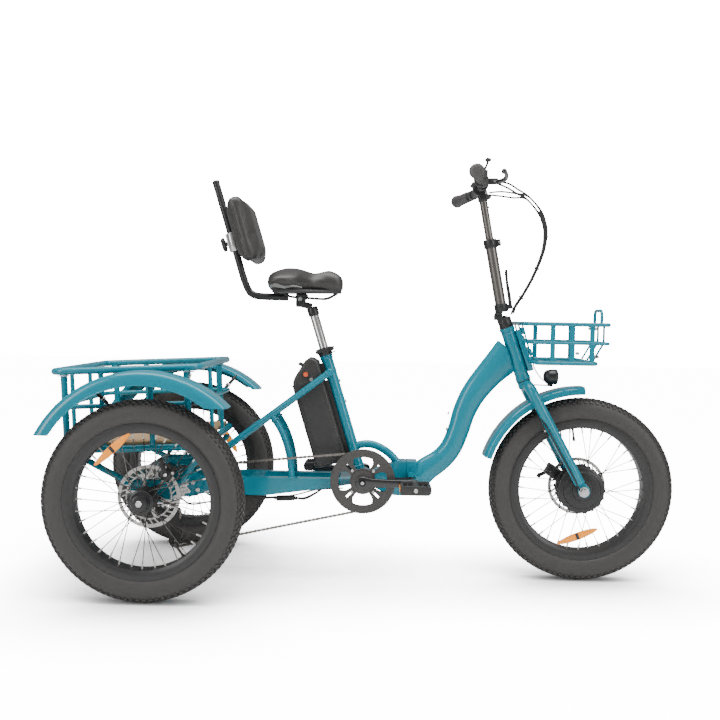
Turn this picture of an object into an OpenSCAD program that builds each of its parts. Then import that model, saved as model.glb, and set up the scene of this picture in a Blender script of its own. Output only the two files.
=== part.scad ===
/* [Wheels] */
// Outer radius of all three tyres
wheel_r = 278; // [260:1:290]
// Width of a tyre
tyre_w = 76; // [70:1:80]
// Radius of the rim's outer edge
rim_r = 212; // [208:1:213]
// Distance from the rear axle to the front axle
wheelbase = 1248; // [1235:1:1260]
// Distance between the middles of the rear tyres
track = 665; // [655:1:680]
// Spokes in each wheel
spoke_count = 36; // [24:4:40]

/* [Drive] */
// Distance from the rear axle forward to the crank axle
crank_x = 590; // [586:1:594]
// Height of the crank axle
crank_z = 302; // [298:1:306]
// Length of a crank arm
crank_len = 152; // [145:1:160]
// Outer radius of the chain guard ring
guard_r = 95; // [92:1:98]
// Teeth on the chainring
ring_teeth = 42; // [40:1:43]
// Teeth on the cog that carries the chain
cog_teeth = 24; // [22:1:26]

/* [Frame] */
// Lean of the seat tube from upright
seat_lean = 17.2; // [16:0.1:18]
// Lean of the head tube from upright
head_lean = 19.2; // [18.8:0.1:19.6]
// Lean of the handlebar post from upright
post_lean = 11; // [10:0.1:12]
// Diameter of the two upper stays
stay_d = 20; // [18:1:22]
// Half the distance between the two upper stays
stay_y = 54; // [54:1:56]

/* [Cargo] */
// Half the width of the cargo basket, to the middle of its tubes
cargo_y = 250; // [246:1:252]
// Length of the cargo basket, between the middles of its end tubes
cargo_len = 412; // [405:1:418]
// Height of the cargo basket, between the middles of its tubes
cargo_h = 222; // [215:1:228]
// Upward tilt of the cargo basket towards the rider
cargo_tilt = 3; // [2.5:0.5:3.5]
// Diameter of the cargo basket's tubes
cargo_d = 20; // [18:1:22]

/* [Seat and bar] */
// Height of the top of the saddle
saddle_z = 925; // [920:1:930]
// Half the width between the ends of the handlebar
bar_y = 320; // [310:1:325]
// Height of the middle of the handlebar
bar_z = 1174; // [1170:1:1178]

/* [Hidden] */
$fn = 48;

teal = "#1396a8";
black = "#1d1e20";
dark = "#3a3a3b";
steel = "#c9ccce";

fender_r = 327;      // outer radius of a rear fender
fender_z = 305;      // height of the middle of its arc
fender_end = 153;    // angle of its rear tip
rear_reach = -fender_r * cos(fender_end);
mid_x = (wheelbase + wheel_r - rear_reach) / 2;   // middle of the whole length
near_y = -track / 2;
rotor_y = 272;       // plane of a rear brake disc
fit = 0.05;          // radial clearance of a running fit
pitch = 12.7;        // chain pitch

// ---- helpers: points are [x, y, z] from the point on the floor under the rear axle ----
module part_frame() translate([-mid_x, 0, 0]) children();

module rod(p, q, d) {
    v = q - p;
    h = norm(v);
    translate(p) rotate([0, acos(v[2] / h), atan2(v[1], v[0])]) cylinder(d = d, h = h);
}

module pipe(points, d) {
    for (i = [0 : len(points) - 2]) rod(points[i], points[i + 1], d);
    for (i = [0 : len(points) - 1]) translate(points[i]) sphere(d = d + 0.6);
}

module both_sides() {
    children();
    mirror([0, 1, 0]) children();
}

module across(p, r, w) translate(p) rotate([90, 0, 0]) cylinder(r = r, h = w, center = true);

module along_seat_tube() translate(seat_foot) rotate([0, -seat_lean, 0]) children();
module along_head_tube() translate(head_foot) rotate([0, -head_lean, 0]) children();
module along_post() translate(post_foot) rotate([0, -post_lean, 0]) children();

function arc(c, r, a, b, n) = [for (i = [0 : n]) let (t = a + (b - a) * i / n) c + r * [cos(t), sin(t)]];

// direction from the first centre to the tangent point, for circles with signed radii (left turns positive)
function tangent(c, r, e, s) = atan2(e[1] - c[1], e[0] - c[0]) - acos((r - s) / norm(e - c));

// one closed tube along points; each ring stands square to the route
function route_dir(p, i) = let (n = len(p) - 1, v = p[min(i + 1, n)] - p[max(i - 1, 0)]) v / norm(v);
function smooth(p, k) = [for (i = [0 : len(p) - 2], j = [0 : k - 1])
    let (t = j / k, a = p[max(i - 1, 0)], b = p[i], c = p[i + 1], d = p[min(i + 2, len(p) - 1)])
    b + 0.5 * (t * (c - a) + t * t * (2 * a - 5 * b + 4 * c - d) + t * t * t * (3 * (b - c) + d - a)),
    p[len(p) - 1]];

module swept(p, widths, heights, sides, side = [0, 1, 0]) {
    n = len(p);
    rings = [for (i = [0 : n - 1])
        let (f = route_dir(p, i), u0 = cross(f, side), u = u0 / norm(u0), w = cross(u, f))
        for (k = [0 : sides - 1]) let (a = 360 * k / sides)
            p[i] + w * widths[i] * cos(a) + u * heights[i] * sin(a)];
    polyhedron(rings, concat([[for (k = [0 : sides - 1]) k]],
        [for (i = [0 : n - 2], k = [0 : sides - 1]) let (m = (k + 1) % sides, a = i * sides)
            [a + k, a + sides + k, a + sides + m, a + m]],
        [[for (k = [sides - 1 : -1 : 0]) (n - 1) * sides + k]]));
}

module cable(points, d, k = 3, side = [0, 1, 0]) {
    p = smooth(points, k);
    same = [for (q = p) d / 2];
    swept(p, same, same, 8, side);
}

seat_foot = [558, 0, 382];
seat_top = 322;
head_foot = [1070, 0, 604];
head_h = 168;
post_foot = [1004, 0, 787];
axle_front = [wheelbase, 0, wheel_r];

// ---- rear frame ----
arch = [[560, 0, 392], [590, 0, 401], [625, 0, 398], [666, 0, 376], [694, 0, 345]];

module seat_tube() color(teal) part_frame() {
    difference() {
        union() {
            along_seat_tube() {
                translate([0, 0, -66]) cylinder(d = 36, h = seat_top + 66);
                translate([0, 0, seat_top - 14]) cylinder(r = 22, h = 16);
                for (z = [seat_top - 14, seat_top - 1]) translate([17, -28, z]) cube([15, 38, 3]);
                translate([17, -14, seat_top - 14]) cube([15, 24, 16]);
                translate([-24.5, -9, seat_top - 14]) cube([14, 18, 16]);
                translate([26, -21, seat_top - 13]) cylinder(r = 3 - fit, h = 14);
            }
            pipe(arch, 24);
        }
        along_seat_tube() translate([0, 0, 20]) cylinder(r = 14 + fit, h = seat_top);
        along_seat_tube() translate([10, -1, seat_top - 40]) cube([30, 2, 60]);
    }
}

stay_top = [485, 620];
stay_low = [66, 302];
brace = [[322, 476], [345, 438], [362, 390], [372, 340], [376, 298]];

module upper_stays() color(teal) part_frame() difference() {
    union() {
        rod([stay_top[0], -stay_y, stay_top[1]], [stay_top[0], stay_y, stay_top[1]], 22);
        both_sides() {
            pipe([[stay_top[0], stay_y, stay_top[1]], [stay_low[0], stay_y, stay_low[1]]], stay_d);
            pipe([for (p = brace) [p[0], stay_y, p[1]]], 20);
        }
    }
    along_seat_tube() translate([0, 0, -60]) cylinder(d = 36, h = 500);
    both_sides() translate([0, stay_y - 16, 200]) cube([600, 32, 102.5]);
    translate([330, stay_y - 16, 200]) cube([100, 32, 100.5]);
}

hinge_x = 720;

module lower_beam() color(teal) part_frame() difference() {
    union() {
        both_sides() translate([0, stay_y - 14, 0]) rotate([90, 0, 0]) mirror([0, 0, 1])
            linear_extrude(28) polygon([[58, 250], [300, 248], [500, 276], [560, 288],
                [560, 302], [500, 302], [58, 302]]);
        for (x = [70, 250, 520]) translate([x, -stay_y, 285]) cube([40, 2 * stay_y, 17]);
        across([crank_x, 0, crank_z], 22, 74);
        translate([545, -36, 286]) cube([30, 72, 16]);
        rotate([90, 0, 0]) linear_extrude(46, center = true) polygon([[598, 284], [660, 252],
            [hinge_x - 32, 248], [hinge_x - 0.5, 248], [hinge_x - 0.5, 352],
            [hinge_x - 32, 352], [660, 336], [598, 318]]);
        for (z = [262, 300, 338]) translate([hinge_x - 1, 36, z - 9]) cylinder(r = 11, h = 18);
        translate([hinge_x - 32, 10, 248]) cube([31.5, 27, 104]);
    }
    across([crank_x, 0, crank_z], 13 + fit, 120);
    along_seat_tube() translate([0, 0, -66]) cylinder(d = 36.4, h = 200);
    pipe(arch, 24);
    translate([hinge_x - 1, 36, 200]) cylinder(r = 5, h = 200);
    for (z = [281, 319]) translate([hinge_x - 1, 36, z - 10.3]) cylinder(r = 11.6, h = 20.6);
}

bearing_y = [-245, -62, 62, 245];

module rear_subframe() color(teal) part_frame() difference() {
    union() {
        for (y = bearing_y) {
            across([0, y, wheel_r], 24, 22);
            translate([-8, y - 3, wheel_r]) cube([86, 6, 30]);
        }
        // axle brackets that the beam is bolted to
        both_sides() translate([0, stay_y + 14.5, 0]) rotate([90, 0, 0]) mirror([0, 0, 1])
            linear_extrude(6) polygon([[-30, 240], [20, 236], [96, 244], [112, 262],
                [112, 300], [60, 338], [10, 330], [-34, 300]]);
        for (x = [-70, 75]) rod([x, -252, 311], [x, 252, 311], 20);
        both_sides() {
            rod([-190, 238, 372], [-70, 238, 311], 18);
            rod([-70, 238, 311], [75, 238, 311], 18);
            rod([75, 238, 311], [132, 238, 386], 18);
            translate([-60, 230, wheel_r - 22]) cube([120, 16, 50]);
            translate([38, 233, 320]) cube([34, 10, 58]);
            translate([-74, stay_y + 14.5, 262]) cube([80, 6, 56]);
        }
    }
    across([0, 0, wheel_r], 10 + fit, 700);
    both_sides() for (p = [[84, 284], [70, 258], [98, 262]])
        translate([p[0], stay_y + 30, p[1]]) rotate([90, 0, 0]) cylinder(r = 3.2, h = 40);
    both_sides() translate([0, stay_y + 14.2, 200]) mirror([0, 1, 0]) cube([560, 60, 150]);
    across([0, 62, wheel_r], 24, 22);
}

// the basket and the deck are drawn level about their own rear corner, then tilted together
cargo_x = -270;
cargo_z = 396;
module cargo_frame() part_frame() translate([cargo_x, 0, cargo_z]) rotate([0, -cargo_tilt, 0]) children();

module cargo_loop(z, d) {
    both_sides() rod([0, cargo_y, z], [cargo_len, cargo_y, z], d);
    for (x = [0, cargo_len]) rod([x, -cargo_y, z], [x, cargo_y, z], d);
    for (x = [0, cargo_len], y = [-cargo_y, cargo_y]) translate([x, y, z]) sphere(d = d + 1);
}

module cargo_basket() color(teal) cargo_frame() {
    cargo_loop(cargo_h, cargo_d);
    cargo_loop(cargo_h - 100, 14);
    cargo_loop(0, cargo_d);
    for (x = [0, cargo_len], y = [-cargo_y, -cargo_y / 3, cargo_y / 3, cargo_y])
        rod([x, y, 0], [x, y, cargo_h], abs(y) == cargo_y ? cargo_d : 14);
    for (x = [cargo_len / 3, 2 * cargo_len / 3], y = [-cargo_y, cargo_y]) rod([x, y, 0], [x, y, cargo_h], 16);
    for (x = [130, 282]) rod([x, -cargo_y, -2], [x, cargo_y, -2], 16);
    for (x = [20, 200, cargo_len - 40]) both_sides()
        translate([x, cargo_y + 5, cargo_h - 6]) cube([28, 12, 4]);
}

module cargo_deck() color("#d3b88c") cargo_frame()
    translate([cargo_d / 2 + 1, 0.5 - cargo_y + cargo_d / 2, 6.3])
        cube([cargo_len - cargo_d - 2, 2 * cargo_y - cargo_d - 1, 12]);

module fender_profile(r, w, skirt_in, skirt_out) polygon([[r, -w / 2 + 10], [r, w / 2 - 10],
    [r - 8, w / 2 - 2], [r - skirt_in, w / 2], [r - skirt_in, w / 2 - 3], [r - 9, w / 2 - 5],
    [r - 3.5, w / 2 - 11], [r - 3.5, -w / 2 + 11], [r - 9, -w / 2 + 5],
    [r - skirt_out, -w / 2 + 3], [r - skirt_out, -w / 2], [r - 8, -w / 2 + 2]]);

module rear_fenders() color(teal) part_frame() both_sides()
    translate([0, near_y, fender_z]) rotate([90, 0, 0])
        rotate([0, 0, 45]) rotate_extrude(angle = fender_end - 45) fender_profile(fender_r, 98, 38, 16);

module fender_stays() color(black) part_frame() both_sides() for (s = [-1, 1]) {
    a = [s > 0 ? 118 : -122, 262, s > 0 ? 541 : 536];
    b = [s > 0 ? 150 : -160, 292, s > 0 ? 583 : 577];
    rod(a, b, 12);
    rod(a - [0, 18, 12], a, 8);
    rod(b - [0, 0, 6], b + [0, 24, 0], 8);
}

module caliper(side) {
    // body in front of and above the disc, with a slot that the disc runs in
    difference() {
        union() {
            translate([28, -22, 56]) rotate([0, 35, 0]) cube([42, 44, 34]);
            translate([52, -24 * side - 8, 58]) rotate([0, 30, 0]) cube([16, 16, 62]);
        }
        across([0, 0, 0], 92.5, 5);
    }
}

module rear_calipers() color(black) part_frame()
    for (s = [-1, 1]) translate([0, s * rotor_y, wheel_r]) caliper(s);

module battery_rail() color(dark) part_frame() along_seat_tube()
    difference() {
        translate([-25, -20, -20]) cube([12, 40, 300]);
        translate([0, 0, -100]) cylinder(d = 36.3, h = 500);
        translate([-40, -30, 226]) cube([60, 60, 26]);
    }

// chain route: ring, cog and the two pulleys, each a centre and a signed radius
ring_c = [crank_x, crank_z];
cog_c = [0, wheel_r];
guide_c = [30, 192];
idler_c = [38, 114];
ring_pr = ring_teeth * pitch / 360 * 180 / PI;
cog_pr = cog_teeth * pitch / 360 * 180 / PI;
idler_pr = 21;
chain_y = -92;
ring_to_cog = tangent(ring_c, ring_pr, cog_c, cog_pr);
cog_to_guide = tangent(cog_c, cog_pr, guide_c, -idler_pr);
guide_to_idler = tangent(guide_c, -idler_pr, idler_c, idler_pr);
idler_to_ring = tangent(idler_c, idler_pr, ring_c, ring_pr);

function chain_line(grow) = concat(
    arc(ring_c, ring_pr + grow, idler_to_ring,
        ring_to_cog + 360 * (ring_to_cog < idler_to_ring ? 1 : 0), 24),
    arc(cog_c, cog_pr + grow, ring_to_cog,
        cog_to_guide + 360 * (cog_to_guide < ring_to_cog ? 1 : 0), 18),
    arc(guide_c, -idler_pr + grow, cog_to_guide + 360, guide_to_idler + 360, 8),
    arc(idler_c, idler_pr + grow, guide_to_idler,
        idler_to_ring + 360 * (idler_to_ring < guide_to_idler ? 1 : 0), 14));

module chain() color(steel) part_frame() translate([0, chain_y, 0]) rotate([90, 0, 0])
    linear_extrude(7, center = true) difference() {
        polygon(chain_line(4));
        polygon(chain_line(-4));
    }

module derailleur() color(black) part_frame() {
    for (c = [guide_c, idler_c]) {
        across([c[0], chain_y, c[1]], 16, 7);
        across([c[0], chain_y, c[1]], 4, 22);
    }
    for (y = [chain_y - 9, chain_y + 6]) translate([0, y + 3, 0]) rotate([90, 0, 0]) linear_extrude(3)
        polygon([[18, 200], [44, 200], [50, 160], [52, 106], [42, 98], [28, 102], [20, 150]]);
    translate([14, chain_y + 8.8, 184]) cube([26, 22, 20]);
    translate([12, -68.3, 186]) cube([22, 6, 74]);
}

module rear_cables() color(black) part_frame() {
    cable([[530, -30, 268], [450, -32, 262], [380, -34, 244], [300, -34, 236], [220, -40, 240],
        [150, -44, 226], [90, -52, 214], [66, -62, 216]], 5);
    cable([[530, 30, 268], [430, 32, 258], [330, 34, 238], [240, 34, 232], [140, 34, 226],
        [100, 60, 224], [90, 130, 240], [92, 200, 270], [94, 252, 300], [78, 258, 336]], 5);
    translate([330, -44, 226]) rotate([0, -3, 0]) cube([52, 22, 16]);
}

module frame_bolts() color(steel) part_frame() {
    both_sides() for (p = [[84, 284], [70, 258], [98, 262]])
        translate([p[0], stay_y + 14.8, p[1]]) rotate([-90, 0, 0]) {
            cylinder(r = 3, h = 8);
            translate([0, 0, 6]) cylinder(r = 7, h = 6, $fn = 6);
        }
    along_seat_tube() for (z = [150, 215]) translate([17.5, 0, z]) rotate([0, 90, 0]) cylinder(r = 5, h = 4);
}

// ---- battery ----
module battery_case() color(dark) part_frame() along_seat_tube() rotate([90, 0, 0]) difference() {
    linear_extrude(84, center = true) polygon([[-25.4, -22], [-112, -22], [-122, -12], [-122, 230],
        [-112, 258], [-62, 304], [-50, 309], [-36, 304], [-25.4, 290]]);
    translate([-72, 262, 36]) cylinder(r = 8, h = 10);
    translate([-60, 246, 39]) cylinder(r = 8, h = 10);
}

module power_button() color("#f25a2c") part_frame() along_seat_tube()
    translate([-72, -38.3, 262]) rotate([90, 0, 0]) cylinder(r = 7.6, h = 5.6);

// ---- drive ----
module ring_window(a) rotate([0, 0, a]) intersection() {
    difference() {
        circle(r = 72);
        circle(r = 38);
    }
    polygon([[0, 0], [90, -52], [90, 52]]);
    translate([56, 0]) circle(r = 29);
}

module chainring() color(dark) part_frame() translate([crank_x, chain_y, crank_z]) rotate([90, 0, 0]) {
    difference() {
        union() {
            translate([0, 0, -2]) cylinder(r = ring_pr - 5, h = 4);
            translate([0, 0, 4.5]) cylinder(r = guard_r, h = 6, $fn = 96);
            translate([0, 0, -2]) cylinder(r = 74, h = 12);
            translate([0, 0, -2]) cylinder(r = 34, h = 18);
        }
        for (a = [0 : 90 : 270]) translate([0, 0, -10]) linear_extrude(40) ring_window(a);
        for (a = [45 : 90 : 315]) rotate([0, 0, a]) translate([58, 0, -10]) linear_extrude(40)
            square([20, 7], center = true);
        translate([0, 0, -10]) cylinder(r = 13 + fit, h = 40);
    }
}

arm_y = -122;
module crank_arms() color(dark) part_frame() {
    across([crank_x, (arm_y + 118) / 2, crank_z], 13, 118 - arm_y);
    for (s = [-1, 1]) translate([crank_x, 0, crank_z]) {
        rod([0, s * 114, 0], [0, s * 130, 0], 40);
        rod([-s * crank_len, s * 130, 0], [-s * crank_len, s * 142, 0], 28);
        translate([min(0, -s * crank_len), s > 0 ? 118 : -132, -12]) cube([crank_len, 14, 24]);
        rod([-s * crank_len, s * 140, 0], [-s * crank_len, s * 240, 0], 12);
    }
}

module pedal() difference() {
    union() {
        translate([-44, -46, -13]) cube([88, 14, 26]);
        translate([-44, 32, -13]) cube([88, 14, 26]);
        for (x = [-44, 34]) translate([x, -46, -11]) cube([10, 92, 22]);
        across([0, 0, 0], 12, 92);
    }
    across([0, 0, 0], 6 + fit, 100);
}

module pedal_right() color(black) part_frame() translate([crank_x + crank_len, -192, crank_z]) pedal();
module pedal_left() color(black) part_frame() translate([crank_x - crank_len, 192, crank_z]) pedal();

module cassette() color(steel) part_frame() translate([0, chain_y, wheel_r]) rotate([90, 0, 0]) difference() {
    union() {
        translate([0, 0, -1.5]) cylinder(r = cog_pr - 5, h = 3);
        for (i = [1 : 3]) translate([0, 0, -1.5 - 4.4 * i]) cylinder(r = cog_pr + 7 * i - 5, h = 2);
        for (i = [1 : 3]) translate([0, 0, -1.5 + 4.4 * i]) cylinder(r = cog_pr - 6 * i - 5, h = 2);
        translate([0, 0, -16]) cylinder(r = 20, h = 34);
    }
    cylinder(r = 10 + fit, h = 80, center = true);
}

// ---- wheels: drawn about their own middle, axle along Y ----
module tyre() color(black) rotate([90, 0, 0]) rotate_extrude($fn = 128) difference() {
    intersection() {
        translate([wheel_r - tyre_w / 2, 0]) circle(d = tyre_w);
        translate([rim_r + 1, -60]) square([90, 120]);
    }
    translate([wheel_r - tyre_w / 2 - 1, 0]) circle(d = tyre_w - 10);
}

module rim() color(black) rotate([90, 0, 0]) rotate_extrude($fn = 128)
    polygon([[186, -24], [186, 24], [196, 29], [rim_r, 29], [rim_r, 26.5], [198, 26],
        [189, 21], [189, -21], [198, -26], [rim_r, -26.5], [rim_r, -29], [196, -29]]);

function around(r, a, y) = [r * cos(a), y, r * sin(a)];

module spokes(hub_r, flange_y, lead) color(steel) for (i = [0 : spoke_count - 1]) {
    side = i % 2 == 0 ? 1 : -1;
    turn = floor(i / 2) % 2 == 0 ? 1 : -1;
    a = 360 * i / spoke_count;
    p = around(hub_r, a - turn * lead, side * (flange_y + turn * 1.4));
    q = around(187, a, side * 6);
    rod(p, q, 2.2, $fn = 16);
    rod(q + (p - q) * 14 / norm(p - q), q, 4.4, $fn = 16);
}

module disc(y) translate([0, y, 0]) difference() {
    across([0, 0, 0], 90, 2);
    across([0, 0, 0], 20, 6);
    for (a = [0 : 60 : 300]) across(around(52, a, 0), 15, 6);
    for (a = [0 : 20 : 340]) across(around(80, a + 5, 0), 4, 6);
}

// sign is -1 on the driven right wheel, +1 on the left
module rear_hub(sign) {
    difference() {
        union() {
            across([0, 0, 0], 19, 80);
            for (y = [-30, 30]) across([0, y, 0], 34, 5);
            across([0, -sign * 48, 0], 24, 34);
            across([0, sign * 40, 0], 14, 8);
        }
        if (sign > 0) across([0, 0, 0], 10 + fit, 160);
    }
    disc(-sign * (track / 2 - rotor_y));
}

module hub_right() color(dark) part_frame() {
    translate([0, near_y, wheel_r]) rear_hub(-1);
    across([0, 0, wheel_r], 10, 770);
    for (s = [-1, 1]) translate([0, s * 381, wheel_r]) rotate([90, 0, 0])
        cylinder(r = 15, h = 8, center = true, $fn = 6);
}

module hub_left() color(dark) part_frame() translate([0, -near_y, wheel_r]) rear_hub(1);
module tyre_right() part_frame() translate([0, near_y, wheel_r]) tyre();
module rim_right() part_frame() translate([0, near_y, wheel_r]) rim();
module spokes_right() part_frame() translate([0, near_y, wheel_r]) spokes(31, 30, 32);
module tyre_left() part_frame() translate([0, -near_y, wheel_r]) tyre();
module rim_left() part_frame() translate([0, -near_y, wheel_r]) rim();
module spokes_left() part_frame() translate([0, -near_y, wheel_r]) spokes(31, 30, 32);
module tyre_front() part_frame() translate(axle_front) tyre();
module rim_front() part_frame() translate(axle_front) rim();
module spokes_front() part_frame() translate(axle_front) spokes(67, 28, 16);

module hub_motor() color(black) part_frame() translate(axle_front) {
    difference() {
        union() {
            across([0, 0, 0], 62, 66);
            for (y = [-28, 28]) across([0, y, 0], 70, 5);
            across([0, 0, 0], 54, 78);
            across([0, 0, 0], 30, 88);
            across([0, 39, 0], 22, 12);
        }
        across([0, 0, 0], 6 + fit, 200);
    }
    disc(46.2);
}

// ---- front frame ----
tube_mid = [[hinge_x + 31, 0, 300], [785, 0, 331], [825, 0, 358], [855, 0, 395], [877, 0, 450], [894, 0, 508],
    [922, 0, 564], [965, 0, 620], [1010, 0, 668], [1024, 0, 684]];
tube_half = [40, 37, 34, 33, 33, 35, 38, 42, 50, 52];

module main_tube() color(teal) part_frame() difference() {
    swept(smooth(tube_mid, 3), smooth([for (h = tube_half) min(h, 24)], 3), smooth(tube_half, 3), 24);
    along_head_tube() translate([0, 0, -60]) cylinder(d = 42.5, h = 400);
    translate([hinge_x, -60, 200]) cube([31.2, 120, 200]);
}

module head_tube() color(teal) part_frame() along_head_tube() {
    difference() {
        cylinder(d = 42, h = head_h);
        translate([0, 0, -1]) cylinder(r = 14.3 + fit, h = 300);
        for (z = [9, head_h - 11]) translate([0, 0, z]) difference() {
            cylinder(r = 30, h = 1.6);
            cylinder(r = 20, h = 5, center = true);
        }
    }
    difference() {
        translate([15, -22, 22]) cube([22, 44, 128]);
        cylinder(d = 42, h = 300, center = true);
        translate([27, -13, 40]) cube([20, 26, 92]);
    }
}

module hinge_plate() color(teal) part_frame() difference() {
    union() {
        translate([hinge_x + 0.5, -23, 248]) cube([31, 46, 104]);
        translate([hinge_x + 0.5, 10, 248]) cube([31, 27, 104]);
        for (z = [281, 319]) translate([hinge_x - 1, 36, z - 10]) cylinder(r = 11, h = 20);
        translate([hinge_x - 1, 36, 250]) cylinder(r = 5 - fit, h = 100);
        for (z = [280, 308.6]) translate([hinge_x + 6, -42, z]) cube([18, 20, 11.4]);
        translate([hinge_x + 15, -34, 282]) cylinder(r = 3 - fit, h = 36);
    }
    difference() {
        union() for (z = [262, 300, 338]) translate([hinge_x - 1, 36, z - 9.3]) cylinder(r = 11.6, h = 18.6);
        translate([hinge_x - 1, 36, 200]) cylinder(r = 5 - fit, h = 200);
    }
    translate([hinge_x - 14, 8, 240]) cube([14.5, 17.4, 130]);
}

basket_z = 664;
basket_top = 776;
basket_y = 152;
basket_end = 1290;

// a ring of the basket: straight tubes with ball corners
module basket_ring(x0, x1, z, d) {
    both_sides() rod([x0, basket_y, z], [x1, basket_y, z], d);
    for (x = [x0, x1]) {
        rod([x, -basket_y, z], [x, basket_y, z], d);
        for (y = [-basket_y, basket_y]) translate([x, y, z]) sphere(d = d + 1);
    }
}

module front_basket() color(teal) part_frame() {
    basket_ring(1050, basket_end, basket_top, 12);
    basket_ring(1068, basket_end, 722, 9);
    basket_ring(1084, 1256, basket_z, 12);
    // flat straps: up both sides and under the floor, then front to back
    for (x = [1120, 1176, 1232]) {
        both_sides() translate([x, basket_y - 2, basket_z]) cube([14, 4, basket_top - basket_z]);
        translate([x, -basket_y, basket_z - 2]) cube([14, 2 * basket_y, 4]);
    }
    for (y = [-82, -7, 68]) {
        translate([1084, y, basket_z - 2.5]) cube([172, 14, 5]);
        translate([basket_end - 2, y, 722]) cube([4, 14, basket_top - 722]);
        translate([basket_end, y, 722]) rotate([0, 120, 0]) translate([0, 0, -2]) cube([67, 14, 4]);
        translate([1050, y, basket_top]) rotate([0, 73, 0]) translate([0, 0, -2]) cube([117, 14, 4]);
    }
    // raised hoop at the front
    for (y = [-45, 45]) rod([basket_end, y, basket_top], [basket_end, y, 818], 10);
    rod([basket_end, -45, 818], [basket_end, 45, 818], 10);
    for (y = [-45, 45]) translate([basket_end, y, 818]) sphere(d = 11);
    // clamps on the head tube bracket
    for (p = [[1063, basket_top - 22], [1086, basket_z + 26]])
        translate([p[0] - 6, -24, p[1] - 6]) cube([16, 48, 12]);
}

module frame_latch() color(black) part_frame() {
    difference() {
        union() {
            translate([hinge_x + 15, -34, 292]) cylinder(r = 8, h = 16);
            translate([hinge_x - 50, -45, 294]) cube([65, 9, 12]);
        }
        translate([hinge_x + 15, -34, 280]) cylinder(r = 3, h = 40);
    }
}

// ---- fork and what turns with it ----
crown = [1079, 0, 586];
blade_y = 66;

module fork() color(teal) part_frame() {
    difference() {
        union() {
            along_head_tube() translate([0, 0, -8]) cylinder(r = 14.3, h = head_h + 16);
            along_head_tube() translate([0, 0, -24]) cylinder(r = 21, h = 22);
            rod(crown + [0, -blade_y, 0], crown + [0, blade_y, 0], 32);
            both_sides() {
                pipe([crown + [0, blade_y, 0], axle_front + [-14, blade_y, 26]], 32);
                across(axle_front + [0, blade_y - 5, 0], 18, 6);
            }
        }
        across(axle_front, 6, 200);
    }
}

front_fender_r = 312;
module front_fender() color(teal) part_frame() difference() {
    translate(axle_front) rotate([90, 0, 0]) rotate([0, 0, 90]) rotate_extrude(angle = 72)
        fender_profile(front_fender_r, 96, 22, 22);
    both_sides() pipe([crown + [0, blade_y, 0], axle_front + [-14, blade_y, 26]], 32.6);
}

module headlight() color(black) part_frame() translate([1152, 0, 616]) {
    rotate([0, 90, 0]) rotate_extrude() polygon([[0, -22], [14, -22], [21, -14], [23, 8], [23, 16],
        [20, 20], [0, 22]]);
    translate([-8, -6, -27]) cube([14, 12, 12]);
    translate([-58, -6, -27]) cube([60, 12, 4]);
}

module front_caliper() color(black) part_frame() translate(axle_front + [0, 46.2, 0]) difference() {
    rotate([0, -62, 0]) translate([63, -12, -20]) cube([44, 24, 40]);
    across([0, 0, 0], 92.5, 5);
    across([0, 19.8, 0], 20, 40);
    pipe([[-169, 19.8, 308], [-14, 19.8, 26]], 32.6);
    across([0, -24, 0], 74, 22);
}

pivot = [986, 0, 800];
module stem_base() color(black) part_frame() difference() {
    union() {
        along_head_tube() translate([0, 0, head_h + 1]) cylinder(r = 20, h = 24);
        along_head_tube() translate([-20, -16, head_h + 16]) cube([40, 32, 14]);
        both_sides() translate(pivot + [-8, 9, -16]) cube([22, 9, 19]);
        translate([1001, -9, 790]) cube([14, 18, 8]);
    }
    along_head_tube() translate([0, 0, head_h - 20]) cylinder(r = 14.3 + fit, h = 28.3);
    across(pivot, 4 + fit, 60);
    translate(pivot + [-30, -60, 7]) cube([90, 120, 40]);
}

module front_axle() color(steel) part_frame() translate(axle_front) {
    across([0, 0, 0], 6, 2 * blade_y + 26);
    both_sides() {
        across([0, blade_y - 1, 0], 15, 2);
        translate([0, blade_y + 5, 0]) rotate([90, 0, 0]) cylinder(r = 11, h = 10, center = true, $fn = 6);
    }
}

// ---- handlebar post ----
post_h = 232;
module post_lower() color(dark) part_frame() {
    difference() {
        along_post() union() {
            translate([0, 0, 26]) cylinder(r = 16.5, h = post_h - 26);
            translate([0, 0, 22]) cylinder(r = 20, h = 26);
            translate([0, 0, post_h - 14]) cylinder(r = 20, h = 26);
            translate([12, -7, post_h - 12]) cube([18, 14, 22]);
            translate([10, -10, 28]) cube([24, 20, 13]);
        }
        along_post() translate([0, 0, 40]) cylinder(r = 12 + fit, h = 400);
        along_post() translate([20.5, -6.4, 20]) cube([30, 12.8, 40]);
        both_sides() across(pivot + [0, 13.6, 0], 14, 9.8);
    }
    along_post() across_local([28, 0, 35], 2.5 - fit, 16);
    difference() {
        union() {
            across(pivot, 9, 17);
            translate(pivot + [-6, -8.5, 0]) cube([20, 17, 14]);
        }
        along_post() translate([0, 0, 26]) cylinder(r = 16, h = 60);
    }
    across(pivot, 4, 40);
}

module post_latch() color(black) part_frame() along_post() difference() {
    union() {
        across_local([28, 0, 35], 6, 12);
        translate([24, -6, 35]) cube([8, 12, 14]);
        translate([25, -8, 46]) cube([8, 16, 100]);
    }
    across_local([28, 0, 35], 2.5, 40);
}

bar = [[922, 0, bar_z], [926, 70, bar_z], [916, 150, bar_z + 4], [886, bar_y, bar_z + 6]];
module handlebar() color(black) part_frame() difference() {
    union() {
        along_post() translate([0, 0, 120]) cylinder(r = 12, h = 274);
        both_sides() pipe(bar, 22);
        across(bar[0], 19, 46);
        along_post() translate([-14, -14, 366]) cube([28, 28, 24]);
    }
    along_post() cylinder(r = 9, h = 330);
}

// a cylinder whose axis is the local Y
module across_local(p, r, w) translate(p) rotate([90, 0, 0]) cylinder(r = r, h = w, center = true);
module perch_place() translate([918, -140, bar_z + 4]) rotate([90, 0, -10]) children();

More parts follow.
